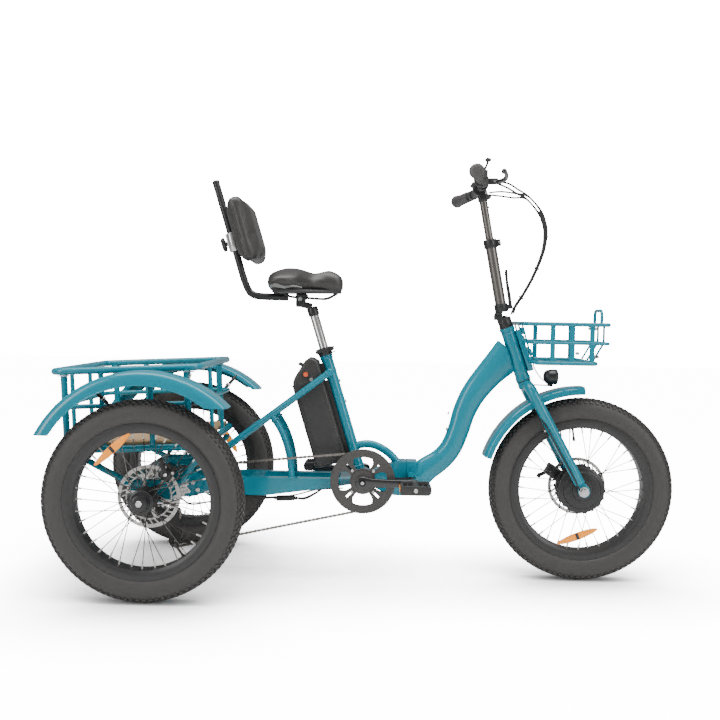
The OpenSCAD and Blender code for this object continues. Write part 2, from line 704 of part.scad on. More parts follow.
module bar_controls() color(black) part_frame() {
    both_sides() perch_place() {
        difference() {
            union() {
                cylinder(r = 16, h = 22, center = true);
                translate([8, -9, -10]) cube([34, 18, 20]);
            }
            cylinder(r = 11.4, h = 60, center = true);
            translate([24, -5.5, -20]) cube([40, 11, 40]);
        }
        across_local([34, 0, 0], 2.5 - fit, 14);
    }
    // twist shifter on the right, thumb throttle base on the left, display in the middle
    translate([910, -172, bar_z + 5]) rotate([90, 0, -10]) difference() {
        cylinder(r = 21, h = 24, center = true);
        cylinder(r = 11.6, h = 60, center = true);
    }
    translate([924, -92, bar_z + 2]) rotate([90, 0, -4]) difference() {
        union() {
            cylinder(r = 16, h = 18, center = true);
            translate([-9, 10, -9]) cube([22, 34, 18]);
        }
        cylinder(r = 11.6, h = 60, center = true);
        translate([-18, 30, -4.6]) cube([40, 40, 9.2]);
    }
    translate([924, -92, bar_z + 2]) rotate([90, 0, -4]) translate([2, 38, 0])
        cylinder(r = 2 - fit, h = 14, center = true);
    translate([924, 56, bar_z + 12]) rotate([0, 35, 0]) cube([50, 44, 12], center = true);
}

module grips() color(dark) part_frame() both_sides() difference() {
    union() {
        rod([908, 192, bar_z + 5], [884, bar_y + 4, bar_z + 6.5], 34);
        rod([888, 214, bar_z + 2], [862, bar_y + 4, bar_z + 2], 26);
    }
    pipe(bar, 22.2);
}

module lever_shape() difference() {
    union() {
        across_local([34, 0, 0], 7, 9);
        pipe([[36, 0, 2], [52, 0, 14], [66, 2, 44], [70, 5, 80], [66, 8, 134]], 8.6);
    }
    across_local([34, 0, 0], 2.5, 30);
}

module brake_lever_right() color(black) part_frame() perch_place() lever_shape();
module brake_lever_left() color(black) part_frame() mirror([0, 1, 0]) perch_place() lever_shape();

module thumb_lever() color(black) part_frame() translate([924, -92, bar_z + 2]) rotate([90, 0, -4])
    translate([2, 38, 0]) difference() {
        union() {
            cylinder(r = 5, h = 8.6, center = true);
            rod([0, 0, 0], [8, 26, 0], 7);
            translate([11, 34, 0]) sphere(r = 9);
        }
        cylinder(r = 2, h = 20, center = true);
    }

module bar_cables() color(black) part_frame() {
    cable([[965, -118, 1180], [1000, -90, 1168], [1060, -50, 1106], [1098, -30, 1032], [1104, -14, 968],
        [1084, -6, 900], [1050, -4, 836], [1038, -4, 802]], 7, 4);
    cable([[965, 118, 1180], [1000, 84, 1160], [1052, 42, 1096], [1088, 16, 1028], [1096, 8, 968],
        [1076, 8, 900], [1046, 8, 836], [1034, 8, 802]], 7, 4);
}

// ---- seat ----
module seat_post() color(steel) part_frame() {
    along_seat_tube() translate([0, 0, seat_top - 180]) cylinder(r = 14, h = 310);
    difference() {
        union() {
            across([391, 0, 838], 14, 52);
            hull() {
                translate([376, -18, 812]) cube([26, 36, 24]);
                along_seat_tube() translate([0, 0, seat_top + 112]) cylinder(r = 16, h = 20);
            }
        }
        for (s = [-1, 1]) rod([300, s * 22, 845], [480, s * 22, 838], 8.6);
    }
}

module saddle() color(black) part_frame() difference() {
    union() {
        hull() {
            for (s = [-1, 1]) translate([338, s * 76, saddle_z - 45])
                scale([1, 1, 0.95]) sphere(r = 46, $fn = 32);
            translate([430, 0, saddle_z - 52]) scale([1, 1.25, 1]) sphere(r = 38, $fn = 32);
        }
        hull() {
            translate([430, 0, saddle_z - 52]) scale([1, 1.25, 1]) sphere(r = 38, $fn = 32);
            translate([488, 0, saddle_z - 36]) sphere(r = 35, $fn = 32);
        }
    }
    translate([200, -200, 700]) cube([400, 400, 154]);
}

// the backrest's post runs straight from post_low to post_high, as [x, z]
post_low = [221, 880];
post_high = [128, 1184];
post_d = 22;
module backrest_frame() color(black) part_frame() {
    pipe([[348, 0, 842.5], [300, 0, 842.5], [262, 0, 845], [237, 0, 856],
        [post_low[0], 0, post_low[1]], [post_high[0], 0, post_high[1]]], post_d);
    across([342, 0, 842.5], 5, 52);
    both_sides() rod([336, 22, 843], [480, 22, 838], 8);
}

back_lean = atan2(post_low[0] - post_high[0], post_high[1] - post_low[1]);
pad_up = 0.5;
module along_back() translate([post_low[0] + (post_high[0] - post_low[0]) * pad_up, 0,
    post_low[1] + (post_high[1] - post_low[1]) * pad_up]) rotate([0, -back_lean, 0]) children();

module backrest_pad() color(black) part_frame() along_back() hull() for (y = [-95, 95], z = [-83, 67])
    translate([49, y, z]) scale([0.75, 1, 1]) sphere(r = 30, $fn = 24);

// the bracket's clamp is clamp_h high and reaches from clamp_low up the post
clamp_low = -55;
clamp_h = 56;
module pad_bracket() color(steel) part_frame() along_back() difference() {
    union() {
        translate([13, -60, clamp_low - 6]) cube([11, 120, clamp_h + 12]);
        translate([-16, -17, clamp_low]) cube([32, 34, clamp_h]);
    }
    translate([0, 0, -400]) cylinder(d = post_d + 2 * fit, h = 800);
}

module pad_knob() color(black) part_frame() along_back() translate([-16.3, 0, clamp_low + clamp_h / 2])
    rotate([0, -90, 0]) {
        cylinder(r = 7, h = 8);
        translate([0, 0, 6]) cylinder(r = 18, h = 13);
        for (a = [0 : 60 : 300]) rotate([0, 0, a]) translate([17, 0, 6.5]) cylinder(r = 4, h = 12);
    }

module seat_clamp() color(black) part_frame() along_seat_tube() difference() {
    union() {
        translate([26, -21, seat_top - 10.6]) cylinder(r = 6, h = 9.2);
        translate([-24, -32, seat_top - 10.6]) cube([50, 6, 9.2]);
        translate([22, -32, seat_top - 10.6]) cube([8, 10, 9.2]);
    }
    translate([26, -21, seat_top - 40]) cylinder(r = 3, h = 80);
}

seat_tube();
upper_stays();
lower_beam();
rear_subframe();
cargo_basket();
cargo_deck();
rear_fenders();
fender_stays();
rear_calipers();
battery_rail();
chain();
derailleur();
rear_cables();
frame_bolts();
battery_case();
power_button();
chainring();
crank_arms();
pedal_right();
pedal_left();
cassette();
tyre_right();
rim_right();
spokes_right();
hub_right();
tyre_left();
rim_left();
spokes_left();
hub_left();
main_tube();
head_tube();
hinge_plate();
front_basket();
frame_latch();
fork();
front_fender();
headlight();
front_caliper();
stem_base();
front_axle();
tyre_front();
rim_front();
spokes_front();
hub_motor();
post_lower();
post_latch();
handlebar();
bar_controls();
grips();
brake_lever_right();
brake_lever_left();
thumb_lever();
bar_cables();
seat_post();
saddle();
backrest_frame();
backrest_pad();
pad_bracket();
pad_knob();
seat_clamp();
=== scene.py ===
from math import acos, atan2, cos, pi, radians, sin

import bmesh
import bpy
from mathutils import Matrix, Quaternion, Vector
from mathutils.bvhtree import BVHTree


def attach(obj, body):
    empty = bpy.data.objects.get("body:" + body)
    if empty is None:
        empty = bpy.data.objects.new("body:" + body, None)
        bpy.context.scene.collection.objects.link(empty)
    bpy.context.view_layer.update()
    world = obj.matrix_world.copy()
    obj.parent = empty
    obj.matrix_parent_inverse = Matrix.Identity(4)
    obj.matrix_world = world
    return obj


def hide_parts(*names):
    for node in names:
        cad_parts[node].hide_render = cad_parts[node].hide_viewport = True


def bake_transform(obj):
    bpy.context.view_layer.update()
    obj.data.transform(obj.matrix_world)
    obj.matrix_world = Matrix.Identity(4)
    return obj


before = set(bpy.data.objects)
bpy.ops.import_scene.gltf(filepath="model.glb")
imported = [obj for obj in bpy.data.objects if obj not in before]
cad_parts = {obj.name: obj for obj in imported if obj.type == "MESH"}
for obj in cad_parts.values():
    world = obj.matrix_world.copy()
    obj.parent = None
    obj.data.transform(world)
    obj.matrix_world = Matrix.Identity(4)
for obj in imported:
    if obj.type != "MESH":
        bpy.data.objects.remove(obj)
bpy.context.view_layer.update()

# The tricycle faces +X and its drive side is towards -Y. Shapes are drawn in mm from the point on
# the floor under the rear axle, as in the CAD source, and are placed in metres when finished.


# ---- Floor, lights and camera ----
# A white sweep with broad soft lamps, seen from the drive side at about the saddle's height.
def soft_lamp(name, place, target, width, depth, watts):
    data = bpy.data.lights.new(name, "AREA")
    data.shape, data.size, data.size_y, data.energy = "RECTANGLE", width, depth, watts
    lamp = bpy.data.objects.new(name, data)
    lamp.location = place
    lamp.rotation_euler = (Vector(target) - Vector(place)).to_track_quat("-Z", "Y").to_euler()
    bpy.context.scene.collection.objects.link(lamp)


soft_lamp("overhead", (0, -0.5, 3.4), (0, 0, 0.4), 4.4, 2.0, 190)
soft_lamp("rear_side", (-3.1, -3.0, 1.7), (-0.2, 0, 0.5), 0.9, 2.6, 60)
soft_lamp("front_side", (3.3, -2.8, 1.9), (0.3, 0, 0.6), 0.8, 2.4, 60)
world = bpy.data.worlds.new("studio")
world.use_nodes = True
sky, sky_out = world.node_tree.nodes["Background"], world.node_tree.nodes["World Output"]
sky.inputs["Strength"].default_value = 0.38
white_wall = world.node_tree.nodes.new("ShaderNodeBackground")
white_wall.inputs["Strength"].default_value = 22
seen = world.node_tree.nodes.new("ShaderNodeLightPath")
either = world.node_tree.nodes.new("ShaderNodeMixShader")
world.node_tree.links.new(seen.outputs["Is Camera Ray"], either.inputs["Fac"])
world.node_tree.links.new(sky.outputs[0], either.inputs[1])
world.node_tree.links.new(white_wall.outputs[0], either.inputs[2])
world.node_tree.links.new(either.outputs[0], sky_out.inputs["Surface"])
for wall in (sky, white_wall):
    wall.inputs["Color"].default_value = (1, 1, 1, 1)
bpy.context.scene.world = world

floor_shape = bmesh.new()
bmesh.ops.create_grid(floor_shape, x_segments=1, y_segments=1, size=14)
floor_data = bpy.data.meshes.new("floor")
floor_shape.to_mesh(floor_data)
floor_shape.free()
floor = bpy.data.objects.new("floor", floor_data)
bpy.context.scene.collection.objects.link(floor)
floor_white = bpy.data.materials.new("floor_white")
floor_white.use_nodes = True
floor_shader = floor_white.node_tree.nodes["Principled BSDF"]
floor_shader.inputs["Base Color"].default_value = (0.9, 0.9, 0.9, 1)
floor_shader.inputs["Roughness"].default_value = 0.8
floor_shader.inputs["Specular IOR Level"].default_value = 0.1
floor_shader.inputs["Emission Color"].default_value = (1, 1, 1, 1)
floor_seen = floor_white.node_tree.nodes.new("ShaderNodeLightPath")
floor_glow = floor_white.node_tree.nodes.new("ShaderNodeMath")
floor_glow.operation = "MULTIPLY"
floor_glow.inputs[1].default_value = 14
floor_white.node_tree.links.new(floor_seen.outputs["Is Camera Ray"], floor_glow.inputs[0])
# Painted contact shadow: the floor's camera-only glow is dimmed by ambient occlusion, so the floor darkens under and
# beside the tricycle.
painted_contact_shadow, fall, glow = (floor_white.node_tree.nodes.new("ShaderNodeAmbientOcclusion"),
                       floor_white.node_tree.nodes.new("ShaderNodeMath"), floor_white.node_tree.nodes.new("ShaderNodeMath"))
painted_contact_shadow.inputs["Distance"].default_value = 0.5
fall.operation, glow.operation = "POWER", "MULTIPLY"
fall.inputs[1].default_value = 5
floor_white.node_tree.links.new(painted_contact_shadow.outputs["AO"], fall.inputs[0])
floor_white.node_tree.links.new(fall.outputs[0], glow.inputs[0])
floor_white.node_tree.links.new(floor_glow.outputs[0], glow.inputs[1])
floor_white.node_tree.links.new(glow.outputs[0], floor_shader.inputs["Emission Strength"])
floor_data.materials.append(floor_white)

yaw, pitch, roll = radians(-1.31), radians(2.59), radians(1.04)
ahead = Vector((sin(yaw) * cos(pitch), cos(yaw) * cos(pitch), -sin(pitch)))
level = Vector((cos(yaw), -sin(yaw), 0))
upright = level.cross(ahead)
across_view = cos(roll) * level + sin(roll) * upright
up_view = cos(roll) * upright - sin(roll) * level
camera_data = bpy.data.cameras.new("camera")
camera_data.sensor_width, camera_data.lens = 36, 45.88
camera = bpy.data.objects.new("camera", camera_data)
camera.matrix_world = Matrix((
    (across_view.x, up_view.x, -ahead.x, 0.0197),
    (across_view.y, up_view.y, -ahead.y, -2.787),
    (across_view.z, up_view.z, -ahead.z, 0.782),
    (0, 0, 0, 1)))
bpy.context.scene.collection.objects.link(camera)
bpy.context.scene.camera = camera


# ---- Seat tube and its arch ----
# A steel tube leaning back over the bottom bracket, with a thinner arch from its foot down to the
# front end of the beam. Both are painted teal, and a black collar pinches the seat post.
to_metres = Matrix.Scale(0.001, 4) @ Matrix.Translation((-617.32, 0, 0))
here = Matrix.Identity(4)


def at(x=0, y=0, z=0, rx=0, ry=0, rz=0):
    """A place with its turns about X, then Y, then Z in degrees."""
    return (Matrix.Translation((x, y, z)) @ Matrix.Rotation(radians(rz), 4, "Z")
            @ Matrix.Rotation(radians(ry), 4, "Y") @ Matrix.Rotation(radians(rx), 4, "X"))


def along(p, q):
    """A place at p with its Z towards q, and the distance between them."""
    p, q = Vector(p), Vector(q)
    return Matrix.Translation(p) @ (q - p).to_track_quat("Z", "Y").to_matrix().to_4x4(), (q - p).length


def rounded(points, bend, steps=6):
    """A route with each corner cut back by bend and curved."""
    points = [Vector(p) for p in points]
    line = [points[0]]
    for before, corner, after in zip(points, points[1:], points[2:]):
        start = corner + (before - corner).normalized() * min(bend, (before - corner).length * 0.48)
        stop = corner + (after - corner).normalized() * min(bend, (after - corner).length * 0.48)
        for i in range(steps + 1):
            t = i / steps
            line.append(start.lerp(corner, t).lerp(corner.lerp(stop, t), t))
    return line + [points[-1]]


def smooth_route(points, parts=4):
    """A route that passes smoothly through all its points."""
    p = [Vector(q) for q in points]
    line = []
    for i in range(len(p) - 1):
        a, b, c, d = p[max(i - 1, 0)], p[i], p[i + 1], p[min(i + 2, len(p) - 1)]
        for j in range(parts):
            t = j / parts
            line.append(b + 0.5 * (t * (c - a) + t * t * (2 * a - 5 * b + 4 * c - d)
                                   + t ** 3 * (3 * (b - c) + d - a)))
    return line + [p[-1]]


def tube(shape, line, r, sides=20, place=here, loop=False, caps=True, finish=0):
    """Sweep a round or oval section along a line; r is a radius or a (half width, half height) pair,
    or a list with one of these for each point."""
    line = [Vector(p) for p in line]
    if loop:
        line = line + [line[0]]
    sizes = r if isinstance(r, list) else [r] * len(line)
    sizes = [s if isinstance(s, tuple) else (s, s) for s in sizes]
    turn, stations = None, []
    for i, point in enumerate(line):
        if loop:
            way = line[(i + 1) % (len(line) - 1)] - line[(i - 1) % (len(line) - 1)]
        else:
            way = line[min(i + 1, len(line) - 1)] - line[max(i - 1, 0)]
        way.normalize()
        turn = way.to_track_quat("Z", "Y") if turn is None else last.rotation_difference(way) @ turn
        last = way
        stations.append(place @ Matrix.LocRotScale(point, turn, Vector((*sizes[i], 1))))
    ring = bmesh.ops.create_circle(shape, cap_ends=caps and not loop, segments=sides, radius=1,
                                   matrix=stations[0])["verts"]
    first = list(ring)
    edges = list({e for v in ring for e in v.link_edges})
    for before, after in zip(stations, stations[1:]):
        made = bmesh.ops.extrude_edge_only(shape, edges=edges)["geom"]
        ring = [g for g in made if isinstance(g, bmesh.types.BMVert)]
        edges = [g for g in made if isinstance(g, bmesh.types.BMEdge) and all(v in ring for v in g.verts)]
        bmesh.ops.transform(shape, matrix=after @ before.inverted(), verts=ring)
    if loop:
        bmesh.ops.remove_doubles(shape, verts=first + ring, dist=0.01)
    elif caps:
        bmesh.ops.contextual_create(shape, geom=edges)


def rod(shape, p, q, r, sides=20, bevel=0):
    """A straight round bar with its two rims eased by bevel."""
    place, length = along(p, q)
    turned(shape, [(0, 0), (r - bevel, 0), (r, bevel), (r, length - bevel), (r - bevel, length), (0, length)],
           place, sides)


def turned(shape, profile, place=here, sides=32, angle=360, close=False):
    """Turn a profile of (radius, height) points about the Z of a place."""
    points = [p for i, p in enumerate(profile) if i == 0 or p != profile[i - 1]]
    verts = [shape.verts.new((r, 0, z)) for r, z in points]
    pairs = list(zip(verts, verts[1:])) + ([(verts[-1], verts[0])] if close else [])
    edges = [shape.edges.new(pair) for pair in pairs]
    known = set(shape.verts) - set(verts)
    bmesh.ops.spin(shape, geom=verts + edges, cent=(0, 0, 0), axis=(0, 0, 1), angle=radians(angle),
                   steps=sides, use_merge=angle == 360, use_normal_flip=False, use_duplicate=False)
    made = [v for v in shape.verts if v not in known]
    if angle != 360 and close:
        open_edges = [e for v in made for e in v.link_edges if e.is_boundary]
        bmesh.ops.holes_fill(shape, edges=list(set(open_edges)), sides=0)
    bmesh.ops.remove_doubles(shape, verts=made, dist=0.005)
    made = [v for v in shape.verts if v not in known]
    bmesh.ops.transform(shape, matrix=place, verts=made)
    return made


def block(shape, size, place=here, bevel=1.0, segments=2):
    """A box about its own middle with all its edges rounded."""
    made = bmesh.ops.create_cube(shape, size=1, matrix=place @ Matrix.Diagonal((*size, 1)))["verts"]
    if bevel:
        edges = list({e for v in made for e in v.link_edges})
        bmesh.ops.bevel(shape, geom=edges, offset=bevel, offset_type="OFFSET", segments=segments, profile=0.5,
                        affect="EDGES", clamp_overlap=True, material=-1)


def plate(shape, outline, low, high, place=here, bevel=0.6, segments=1):
    """A flat plate cut to an outline of (x, y) points, from low to high along Z, with eased rims."""
    known = set(shape.verts)
    verts = [shape.verts.new((x, y, low)) for x, y in outline]
    face = shape.faces.new(verts)
    raised = bmesh.ops.extrude_face_region(shape, geom=[face])["geom"]
    top = [g for g in raised if isinstance(g, bmesh.types.BMVert)]
    bmesh.ops.translate(shape, vec=(0, 0, high - low), verts=top)
    made = [v for v in shape.verts if v not in known]
    if bevel:
        rims = list({e for v in made for e in v.link_edges if abs(e.verts[0].co.z - e.verts[1].co.z) < 1e-6})
        bmesh.ops.bevel(shape, geom=rims, offset=bevel, offset_type="OFFSET", segments=segments, profile=0.5,
                        affect="EDGES", clamp_overlap=True, material=-1)
    made = [v for v in shape.verts if v not in known]
    bmesh.ops.transform(shape, matrix=place, verts=made)
    return made


def copies(shape, verts, places):
    """Copies of some vertices' faces at other places, measured from where the first stands."""
    geom = list({f for v in verts for f in v.link_faces})
    geom += list({e for v in verts for e in v.link_edges}) + list(verts)
    for place in places:
        new = bmesh.ops.duplicate(shape, geom=geom)["geom"]
        bmesh.ops.transform(shape, matrix=place, verts=[g for g in new if isinstance(g, bmesh.types.BMVert)])


def finished(name, shape, looks, body, stands_for=(), crease=35, merge=0.004):
    """Put a drawn shape in its place in metres, riding on a body; given a tuple in place of a body, it is only baked in
    place and rides on none.
    """
    bmesh.ops.remove_doubles(shape, verts=shape.verts, dist=merge)
    bmesh.ops.dissolve_degenerate(shape, edges=shape.edges, dist=merge / 2)
    bmesh.ops.recalc_face_normals(shape, faces=shape.faces)
    bmesh.ops.transform(shape, matrix=to_metres, verts=shape.verts)
    data = bpy.data.meshes.new(name)
    shape.to_mesh(data)
    shape.free()
    for look in looks if isinstance(looks, list) else [looks]:
        data.materials.append(look)
    data.shade_smooth()
    data.set_sharp_from_angle(angle=radians(crease))
    piece = bpy.data.objects.new(name, data)
    bpy.context.scene.collection.objects.link(piece)
    if isinstance(body, tuple):
        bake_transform(piece)
    else:
        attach(piece, body)
    if stands_for:
        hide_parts(*stands_for)
    return piece


def node_group(name, inputs, outputs):
    """An empty effect with its named sockets."""
    group = bpy.data.node_groups.new(name, "ShaderNodeTree")
    for label, kind, value in inputs:
        group.interface.new_socket(label, in_out="INPUT", socket_type="NodeSocket" + kind).default_value = value
    for label, kind in outputs:
        group.interface.new_socket(label, in_out="OUTPUT", socket_type="NodeSocket" + kind)
    return group, group.nodes.new("NodeGroupInput").outputs, group.nodes.new("NodeGroupOutput").inputs


def surface_grain():
    """Mottled colour, uneven gloss and a fine bump, as every moulded, cast or painted surface has."""
    group, given, made = node_group("surface_grain", [
        ("Color", "Color", (0.5, 0.5, 0.5, 1)), ("Tone", "Color", (0.4, 0.4, 0.4, 1)),
        ("Mottle Scale", "Float", 6), ("Mottle", "Float", 0.3), ("Grain Scale", "Float", 600),
        ("Grain Depth", "Float", 0.1), ("Gloss Low", "Float", 0.3), ("Gloss High", "Float", 0.4),
        ("Stretch", "Vector", (1, 1, 1))],
        [("Color", "Color"), ("Roughness", "Float"), ("Normal", "Vector")])
    new, link = group.nodes.new, group.links.new
    place, stretch = new("ShaderNodeTexCoord"), new("ShaderNodeVectorMath")
    stretch.operation = "MULTIPLY"
    blotch, fine = new("ShaderNodeTexNoise"), new("ShaderNodeTexNoise")
    blotch.inputs["Detail"].default_value, fine.inputs["Detail"].default_value = 4, 2
    share, mix = new("ShaderNodeMath"), new("ShaderNodeMix")
    share.operation, mix.data_type = "MULTIPLY", "RGBA"
    gloss, bump = new("ShaderNodeMapRange"), new("ShaderNodeBump")
    bump.inputs["Distance"].default_value = 0.0006
    link(place.outputs["Object"], stretch.inputs[0])
    link(given["Stretch"], stretch.inputs[1])
    link(stretch.outputs[0], blotch.inputs["Vector"])
    link(stretch.outputs[0], fine.inputs["Vector"])
    link(given["Mottle Scale"], blotch.inputs["Scale"])
    link(given["Grain Scale"], fine.inputs["Scale"])
    link(blotch.outputs["Fac"], share.inputs[0])
    link(given["Mottle"], share.inputs[1])
    link(share.outputs["Value"], mix.inputs["Factor"])
    link(given["Color"], mix.inputs["A"])
    link(given["Tone"], mix.inputs["B"])
    link(mix.outputs["Result"], made["Color"])
    link(blotch.outputs["Fac"], gloss.inputs["Value"])
    link(given["Gloss Low"], gloss.inputs["To Min"])
    link(given["Gloss High"], gloss.inputs["To Max"])
    link(gloss.outputs["Result"], made["Roughness"])
    link(fine.outputs["Fac"], bump.inputs["Height"])
    link(given["Grain Depth"], bump.inputs["Strength"])
    link(bump.outputs["Normal"], made["Normal"])
    return group


grain_group = surface_grain()


def surface(name, color, tone, mottle=(6, 0.5), grain=(600, 0.1), gloss=(0.3, 0.4), stretch=(1, 1, 1), **fixed):
    """A Principled finish whose colour, gloss and bump come from the grain effect."""
    material = bpy.data.materials.new(name)
    material.use_nodes = True
    tree = material.node_tree
    shader = tree.nodes["Principled BSDF"]
    grained = tree.nodes.new("ShaderNodeGroup")
    grained.node_tree = grain_group
    grained.name = "grain"
    for label, value in (("Color", (*color, 1)), ("Tone", (*tone, 1)), ("Mottle Scale", mottle[0]),
                         ("Mottle", mottle[1]), ("Grain Scale", grain[0]), ("Grain Depth", grain[1]),
                         ("Gloss Low", gloss[0]), ("Gloss High", gloss[1]), ("Stretch", stretch)):
        grained.inputs[label].default_value = value
    tree.links.new(grained.outputs["Color"], shader.inputs["Base Color"])
    tree.links.new(grained.outputs["Roughness"], shader.inputs["Roughness"])
    tree.links.new(grained.outputs["Normal"], shader.inputs["Normal"])
    for label, value in fixed.items():
        shader.inputs[label.replace("_", " ")].default_value = value
    return material


def coat_node(names, material):
    """Give carried-over CAD nodes their finish."""
    for name in names:
        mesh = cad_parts[name].data
        mesh.materials.clear()
        mesh.materials.append(material)


teal = surface("teal_gloss", (0.0, 0.21, 0.29), (0.0, 0.17, 0.24), (3, 0.6), (260, 0.03), (0.2, 0.28),
               Coat_Weight=0.4, Coat_Roughness=0.05, Specular_IOR_Level=0.3)
satin_black = surface("satin_black", (0.012, 0.012, 0.013), (0.022, 0.022, 0.022), (9, 0.5), (900, 0.12),
                      (0.28, 0.42))
steel = surface("bright_steel", (0.68, 0.67, 0.66), (0.5, 0.5, 0.5), (24, 0.5), (500, 0.08), (0.16, 0.3),
                Metallic=1)
weld_tint = surface("weld_bead", (0.004, 0.2, 0.27), (0.003, 0.16, 0.22), (60, 0.7), (420, 0.9), (0.25, 0.4),
                    Coat_Weight=0.5, Coat_Roughness=0.1)

seat_line = at(558, 0, 382, ry=-17.2)
shape = bmesh.new()
tube(shape, [(0, 0, -64), (0, 0, 306)], 18, 32, seat_line)
turned(shape, [(18, 286), (20, 290), (20, 304), (19, 306), (14.2, 306)], seat_line, 32)
arch_line = rounded([(552, 0, 388), (590, 0, 402), (626, 0, 398), (666, 0, 376), (698, 0, 340)], 26)
tube(shape, arch_line, 12, 20)
for z, r in ((216, 5), (104, 5)):
    rod(shape, seat_line @ Vector((-16, 0, z)), seat_line @ Vector((-23.5, 0, z)), r, 16, 1)
finished("seat_tube_and_arch", shape, teal, "rear_frame", ["seat_tube"])

shape = bmesh.new()
turned(shape, [(18.2, 300), (21, 300), (22, 301.5), (22, 322), (21, 324), (14.3, 324)], seat_line, 40)
for z in (303, 318.5):
    block(shape, (16, 36, 3.4), seat_line @ at(24, -10, z + 1), 0.8)
block(shape, (12, 18, 16), seat_line @ at(-19, 0, 316), 1.5)
rod(shape, seat_line @ Vector((26, -21, 309)), seat_line @ Vector((26, -21, 322.4)), 3, 16, 0.5)
finished("seat_collar", shape, satin_black, "rear_frame")


def weld(shape, centre, way, r, bead=2.6, sides=40):
    """A bead of weld round a tube, standing square to a direction."""
    place, _ = along(centre, Vector(centre) + Vector(way))
    profile = [(r + bead * 0.9 * cos(radians(a)), bead * sin(radians(a))) for a in range(-90, 91, 30)]
    turned(shape, [(r - 1, -bead)] + profile + [(r - 1, bead)], place, sides)


# ---- Upper stays, braces and lower beam ----
# Two straight tubes from the seat tube down to the axle brackets, two bent braces off the beam, and
# a folded box beam that carries the bottom bracket and half of the folding hinge.
stay_y = 54
shape = bmesh.new()
rod(shape, (485, -64, 620), (485, 64, 620), 11, 24, 2)
for side in (-1, 1):
    y = side * stay_y
    tube(shape, [(485, y, 620), (66, y, 301)], 10, 24)
    tube(shape, rounded([(315, y, 486), (345, y, 440), (363, y, 390), (372, y, 345), (376, y, 296)], 30), 10, 24)
finished("upper_stays_and_braces", shape, teal, "rear_frame", ["upper_stays"])

shape = bmesh.new()
for side in (-1, 1):
    y = side * stay_y
    weld(shape, (323, y, 474), (23, 0, -36), 10.4)
    weld(shape, (376, y, 301), (0, 0, 1), 10.2)
    weld(shape, (478, y, 614.6), (-419, 0, -319), 10.2)
weld(shape, seat_line @ Vector((0, 0, -50)), (-0.296, 0, 0.955), 18)
weld(shape, seat_line @ Vector((0, 0, 252)), (-0.296, 0, 0.955), 18, 2)
weld(shape, (560, 0, 391), (30, 0, 10), 12.2)
weld(shape, (692, 0, 347), (-26, 0, 32), 12.4)
finished("rear_frame_welds", shape, weld_tint, "rear_frame", crease=60)
coat_node(["lower_beam", "rear_subframe"], teal)


# ---- Cargo basket and plywood deck ----
# Three loops of bent steel tube on welded posts, painted teal. A plywood board is screwed down inside,
# and loose plates with wing nuts clamp things to the top rail.
def tilt(x, y, z):
    return cargo_place @ Vector((x, y, z))


cargo_place = at(-270, 0, 396, ry=-3)
cargo_long, cargo_half, cargo_high = 412, 250, 222
corner = 34
shape = bmesh.new()
for z, r in ((cargo_high, 10), (cargo_high - 100, 7), (0, 10)):
    ends = [(cargo_long / 2, -cargo_half, z), (cargo_long, -cargo_half, z), (cargo_long, cargo_half, z),
            (0, cargo_half, z), (0, -cargo_half, z), (cargo_long / 2, -cargo_half, z)]
    tube(shape, rounded(ends, corner, 7)[:-1], r, 20, cargo_place, loop=True)
post_spots = [(x, y, 7 if abs(y) < cargo_half else 10) for x in (0, cargo_long)
              for y in (-cargo_half / 3, cargo_half / 3)]
post_spots += [(x, y, 10) for x in (corner, cargo_long - corner) for y in (-cargo_half, cargo_half)]
post_spots += [(x, y, 8) for x in (cargo_long / 3, 2 * cargo_long / 3) for y in (-cargo_half, cargo_half)]
for x, y, r in post_spots:
    rod(shape, tilt(x, y, 0), tilt(x, y, cargo_high), r * 0.94, 16)
for x in (130, 282):
    rod(shape, tilt(x, -cargo_half, -2), tilt(x, cargo_half, -2), 8, 16)
finished("cargo_basket_tubes", shape, teal, "rear_frame", ["cargo_basket"])

shape = bmesh.new()
for x, y, r in post_spots:
    weld(shape, tilt(x, y, 9.6), cargo_place.to_3x3() @ Vector((0, 0, 1)), r * 0.94, 2, 24)
    weld(shape, tilt(x, y, cargo_high - 9.6), cargo_place.to_3x3() @ Vector((0, 0, 1)), r * 0.94, 2, 24)
finished("cargo_basket_welds", shape, weld_tint, "rear_frame", crease=60)

shape = bmesh.new()
for side in (-1, 1):
    for x in (34, 214, 386):
        block(shape, (30, 13, 3), cargo_place @ at(x, side * (cargo_half + 5), cargo_high - 12), 0.8)
        rod(shape, tilt(x, side * (cargo_half - 6), cargo_high - 10), tilt(x, side * (cargo_half - 6),
            cargo_high - 30), 3, 12)
        for wing in (-1, 1):
            block(shape, (3, 11, 9), cargo_place @ at(x, side * (cargo_half - 6) + wing * 7,
                  cargo_high - 25, rx=wing * 28), 1.2)
        turned(shape, [(0, 0), (5, 0), (5.5, -3), (4, -8), (0, -8)],
               cargo_place @ at(x, side * (cargo_half - 6), cargo_high - 18), 16)
finished("basket_wing_nuts", shape, steel, "rear_frame")


